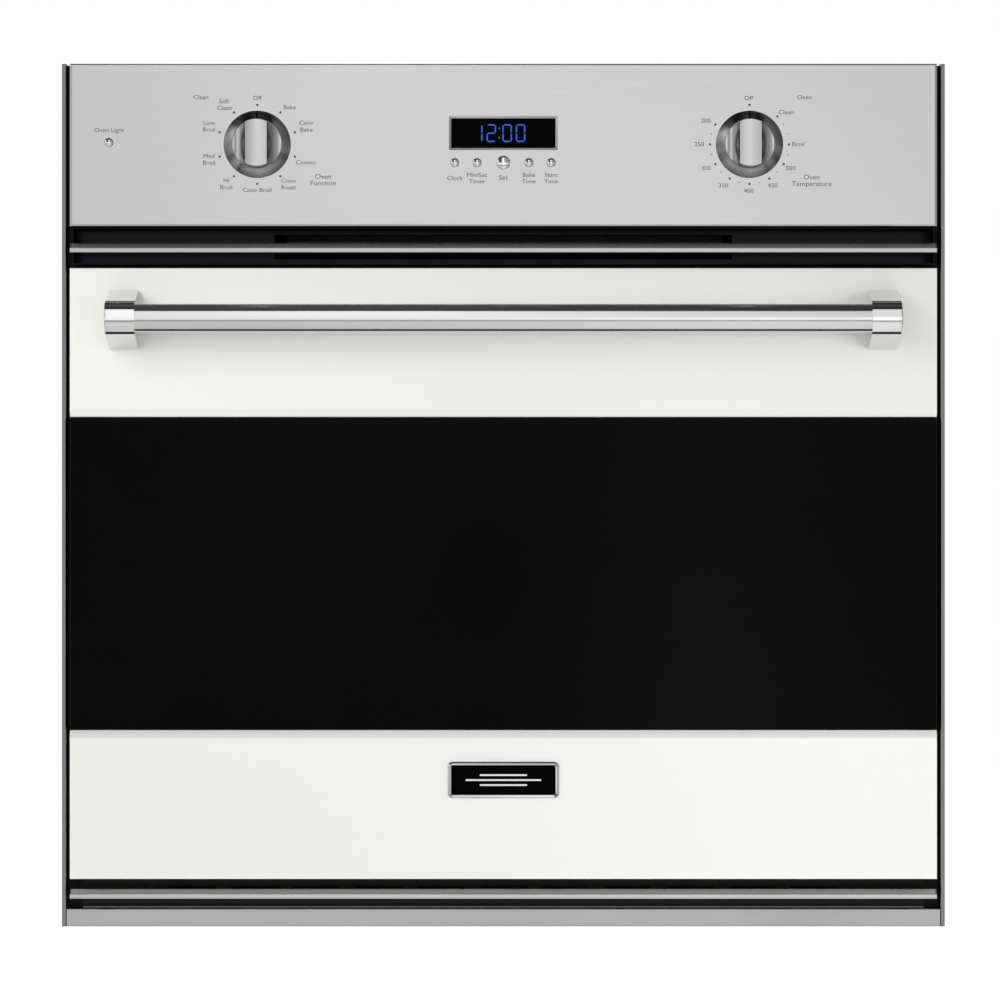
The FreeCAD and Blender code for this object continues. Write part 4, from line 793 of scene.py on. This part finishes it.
def gasket():
    """Braided seal: a flattened woven tube round the cavity mouth."""
    low_corner, high_corner = low("door_gasket"), high("door_gasket")
    centre = (low_corner + high_corner) / 2
    thick = (high_corner.y - low_corner.y) / 2
    width, corner, spacing = 4.2 * MM, 14 * MM, 3 * MM
    half_x = (high_corner.x - low_corner.x) / 2 - width
    half_z = (high_corner.z - low_corner.z) / 2 - width
    path = rounded(half_x, half_z, corner, 10)
    dense = []
    for first, second in zip(path, path[1:] + path[:1]):
        run = math.dist(first, second)
        count = max(1, round(run / spacing))
        dense += [(first[0] + (second[0] - first[0]) * step / count,
                   first[1] + (second[1] - first[1]) * step / count) for step in range(count)]

    def build(work):
        rings, around = [], 12
        count = len(dense)
        for number, point in enumerate(dense):
            before, after = dense[number - 1], dense[(number + 1) % count]
            run = Vector((after[0] - before[0], after[1] - before[1])).normalized()
            outward = Vector((run.y, -run.x))
            swell = 1 - 0.05 * (number % 2)
            ring = []
            for step in range(around):
                turn = math.tau * step / around + (math.pi / around) * (number % 2)
                aside = math.cos(turn) * width * swell
                rise = math.sin(turn) * thick * (0.97 if number % 2 else 1.0)
                ring.append(work.verts.new(Vector((
                    centre.x + point[0] + outward.x * aside, centre.y + rise,
                    centre.z + point[1] + outward.y * aside))))
            rings.append(ring)
        for number in range(count):
            first, second = rings[number], rings[(number + 1) % count]
            for step in range(around):
                following = (step + 1) % around
                work.faces.new((first[step], first[following], second[following], second[step]))

    piece("gasket_braid", mesh_from("gasket_braid", build), MATERIALS["woven_seal"], "chassis",
          ("door_gasket",), smooth=80)


# ---------------------------------------------------------- floor and light


def studio_floor():
    """Glowing white floor under the object, left out of reflections."""
    front, back, half_width = -0.75, 2.6, 6.0
    corners = [(-half_width, front), (half_width, front), (half_width, back), (-half_width, back)]
    made, tree, shader = new_material("studio_floor")
    shader.inputs["Roughness"].default_value = 0.9
    shader.inputs["Base Color"].default_value = (0.12, 0.12, 0.12, 1)
    shader.inputs["Emission Color"].default_value = (1, 1, 1, 1)
    shader.inputs["Emission Strength"].default_value = 0.97
    floor = bpy.data.objects.new("studio_floor", mesh_from("studio_floor", lambda work: work.faces.new(
        [work.verts.new((across, along, FLOOR)) for across, along in corners])))
    scene.collection.objects.link(floor)
    floor.data.materials.append(made)
    floor.visible_glossy = False


PEAK = 1.25  # brightness of the reflected studio wall
FILL = 0.42  # even light from all round


# Reflected brightness: (position, value) from straight down (0) to straight up (1), then from the far
# left (0) to the far right (1), above and below the horizon.
UPRIGHT = ((0.0, 0.66), (0.25, 0.74), (0.27, 0.38), (0.36, 0.38), (0.38, 1.0), (0.905, 1.0), (0.93, 0.04),
           (0.98, 0.03), (1.0, 0.07))
ABOVE = ((0.0, 0.5), (0.05, 1.2), (0.14, 0.12), (0.36, 0.06), (0.42, 0.60), (0.455, 0.70), (0.475, 1.30),
         (0.488, 1.60), (0.503, 0.80), (0.54, 0.74), (0.58, 0.62), (0.66, 0.26), (1.0, 0.22))
BELOW = ((0.0, 0.5), (0.12, 1.0), (0.25, 0.7), (0.44, 0.90), (0.50, 0.92), (0.52, 1.5), (0.54, 1.05),
         (0.75, 0.75), (1.0, 0.36))


def rescaled(tree, value, least, most):
    """A value mapped from LEAST..MOST to 0..1."""
    made = add(tree, "ShaderNodeMapRange")
    made.inputs["From Min"].default_value = least
    made.inputs["From Max"].default_value = most
    tree.links.new(value, made.inputs["Value"])
    return made.outputs["Result"]


def reflected_strength(tree):
    """Brightness seen in reflections: a bright wall, a dark ceiling and a grey line at the horizon."""
    coordinates = add(tree, "ShaderNodeTexCoord")
    split = add(tree, "ShaderNodeSeparateXYZ")
    tree.links.new(coordinates.outputs["Generated"], split.inputs["Vector"])
    sideways = rescaled(tree, split.outputs["X"], -1.0, 1.0)
    upright = ramp(tree, rescaled(tree, split.outputs["Z"], -1.0, 1.0), UPRIGHT)
    across = add(tree, "ShaderNodeMixRGB")
    tree.links.new(rescaled(tree, split.outputs["Z"], -0.05, 0.2), across.inputs["Fac"])
    tree.links.new(ramp(tree, sideways, BELOW), across.inputs["Color1"])
    tree.links.new(ramp(tree, sideways, ABOVE), across.inputs["Color2"])
    shaded = add(tree, "ShaderNodeMath", operation="MULTIPLY")
    tree.links.new(upright, shaded.inputs[0])
    tree.links.new(across.outputs["Color"], shaded.inputs[1])
    scaled = add(tree, "ShaderNodeMath", operation="MULTIPLY")
    tree.links.new(shaded.outputs["Value"], scaled.inputs[0])
    scaled.inputs[1].default_value = PEAK
    return scaled.outputs["Value"]


def studio_world():
    """White to the camera, even light on matt surfaces and a shaded studio in reflections."""
    world = bpy.data.worlds.new("studio")
    scene.world = world
    world.use_nodes = True
    tree = world.node_tree
    white = (1, 1, 1, 1)
    reflected = tree.nodes["Background"]
    reflected.inputs["Color"].default_value = white
    tree.links.new(reflected_strength(tree), reflected.inputs["Strength"])
    even = add(tree, "ShaderNodeBackground", Color=white, Strength=FILL)
    seen = add(tree, "ShaderNodeBackground", Color=white, Strength=1.0)
    rays = add(tree, "ShaderNodeLightPath")
    glossy = add(tree, "ShaderNodeMixShader")
    final = add(tree, "ShaderNodeMixShader")
    for mixer, ray, first, second in ((glossy, "Is Glossy Ray", even, reflected),
                                      (final, "Is Camera Ray", glossy, seen)):
        tree.links.new(rays.outputs[ray], mixer.inputs[0])
        tree.links.new(first.outputs[0], mixer.inputs[1])
        tree.links.new(second.outputs[0], mixer.inputs[2])
    tree.links.new(final.outputs[0], tree.nodes["World Output"].inputs["Surface"])


def soft_light(name, at, target, size, power, beam):
    """A square soft box aimed at a point, BEAM degrees wide, left out of reflections."""
    data = bpy.data.lights.new(name, "AREA")
    data.size = size
    data.energy = power
    data.spread = math.radians(beam)
    made = bpy.data.objects.new(name, data)
    scene.collection.objects.link(made)
    made.location = at
    made.rotation_euler = (Vector(target) - Vector(at)).to_track_quat("-Z", "Y").to_euler()
    made.visible_glossy = False


CAMERA_PLACE = (-2.84 * MM, -4522 * MM, 341.9 * MM)  # the distance is assumed
CAMERA_LENS = 190.9  # mm, on a sensor 36 mm wide


def camera():
    """Square-on view at about half the oven's height."""
    data = bpy.data.cameras.new("camera")
    data.lens = CAMERA_LENS
    data.sensor_width = 36
    data.clip_end = 60
    made = bpy.data.objects.new("camera", data)
    scene.collection.objects.link(made)
    made.location = CAMERA_PLACE
    made.rotation_euler = (math.radians(90), 0, 0)
    scene.camera = made


dress_frame()
panel_legends()
display()
knobs()
buttons()
badge()
gasket()
studio_floor()
studio_world()
soft_light("key", at=(-0.9, -1.3, 0.95), target=(-0.4, 0, 0.62), size=1.0, power=2.0, beam=60)
soft_light("fill", at=(1.0, -1.1, 0.30), target=(0.35, 0, 0.25), size=0.6, power=0.62, beam=50)
camera()
scene.view_settings.view_transform = "Standard"
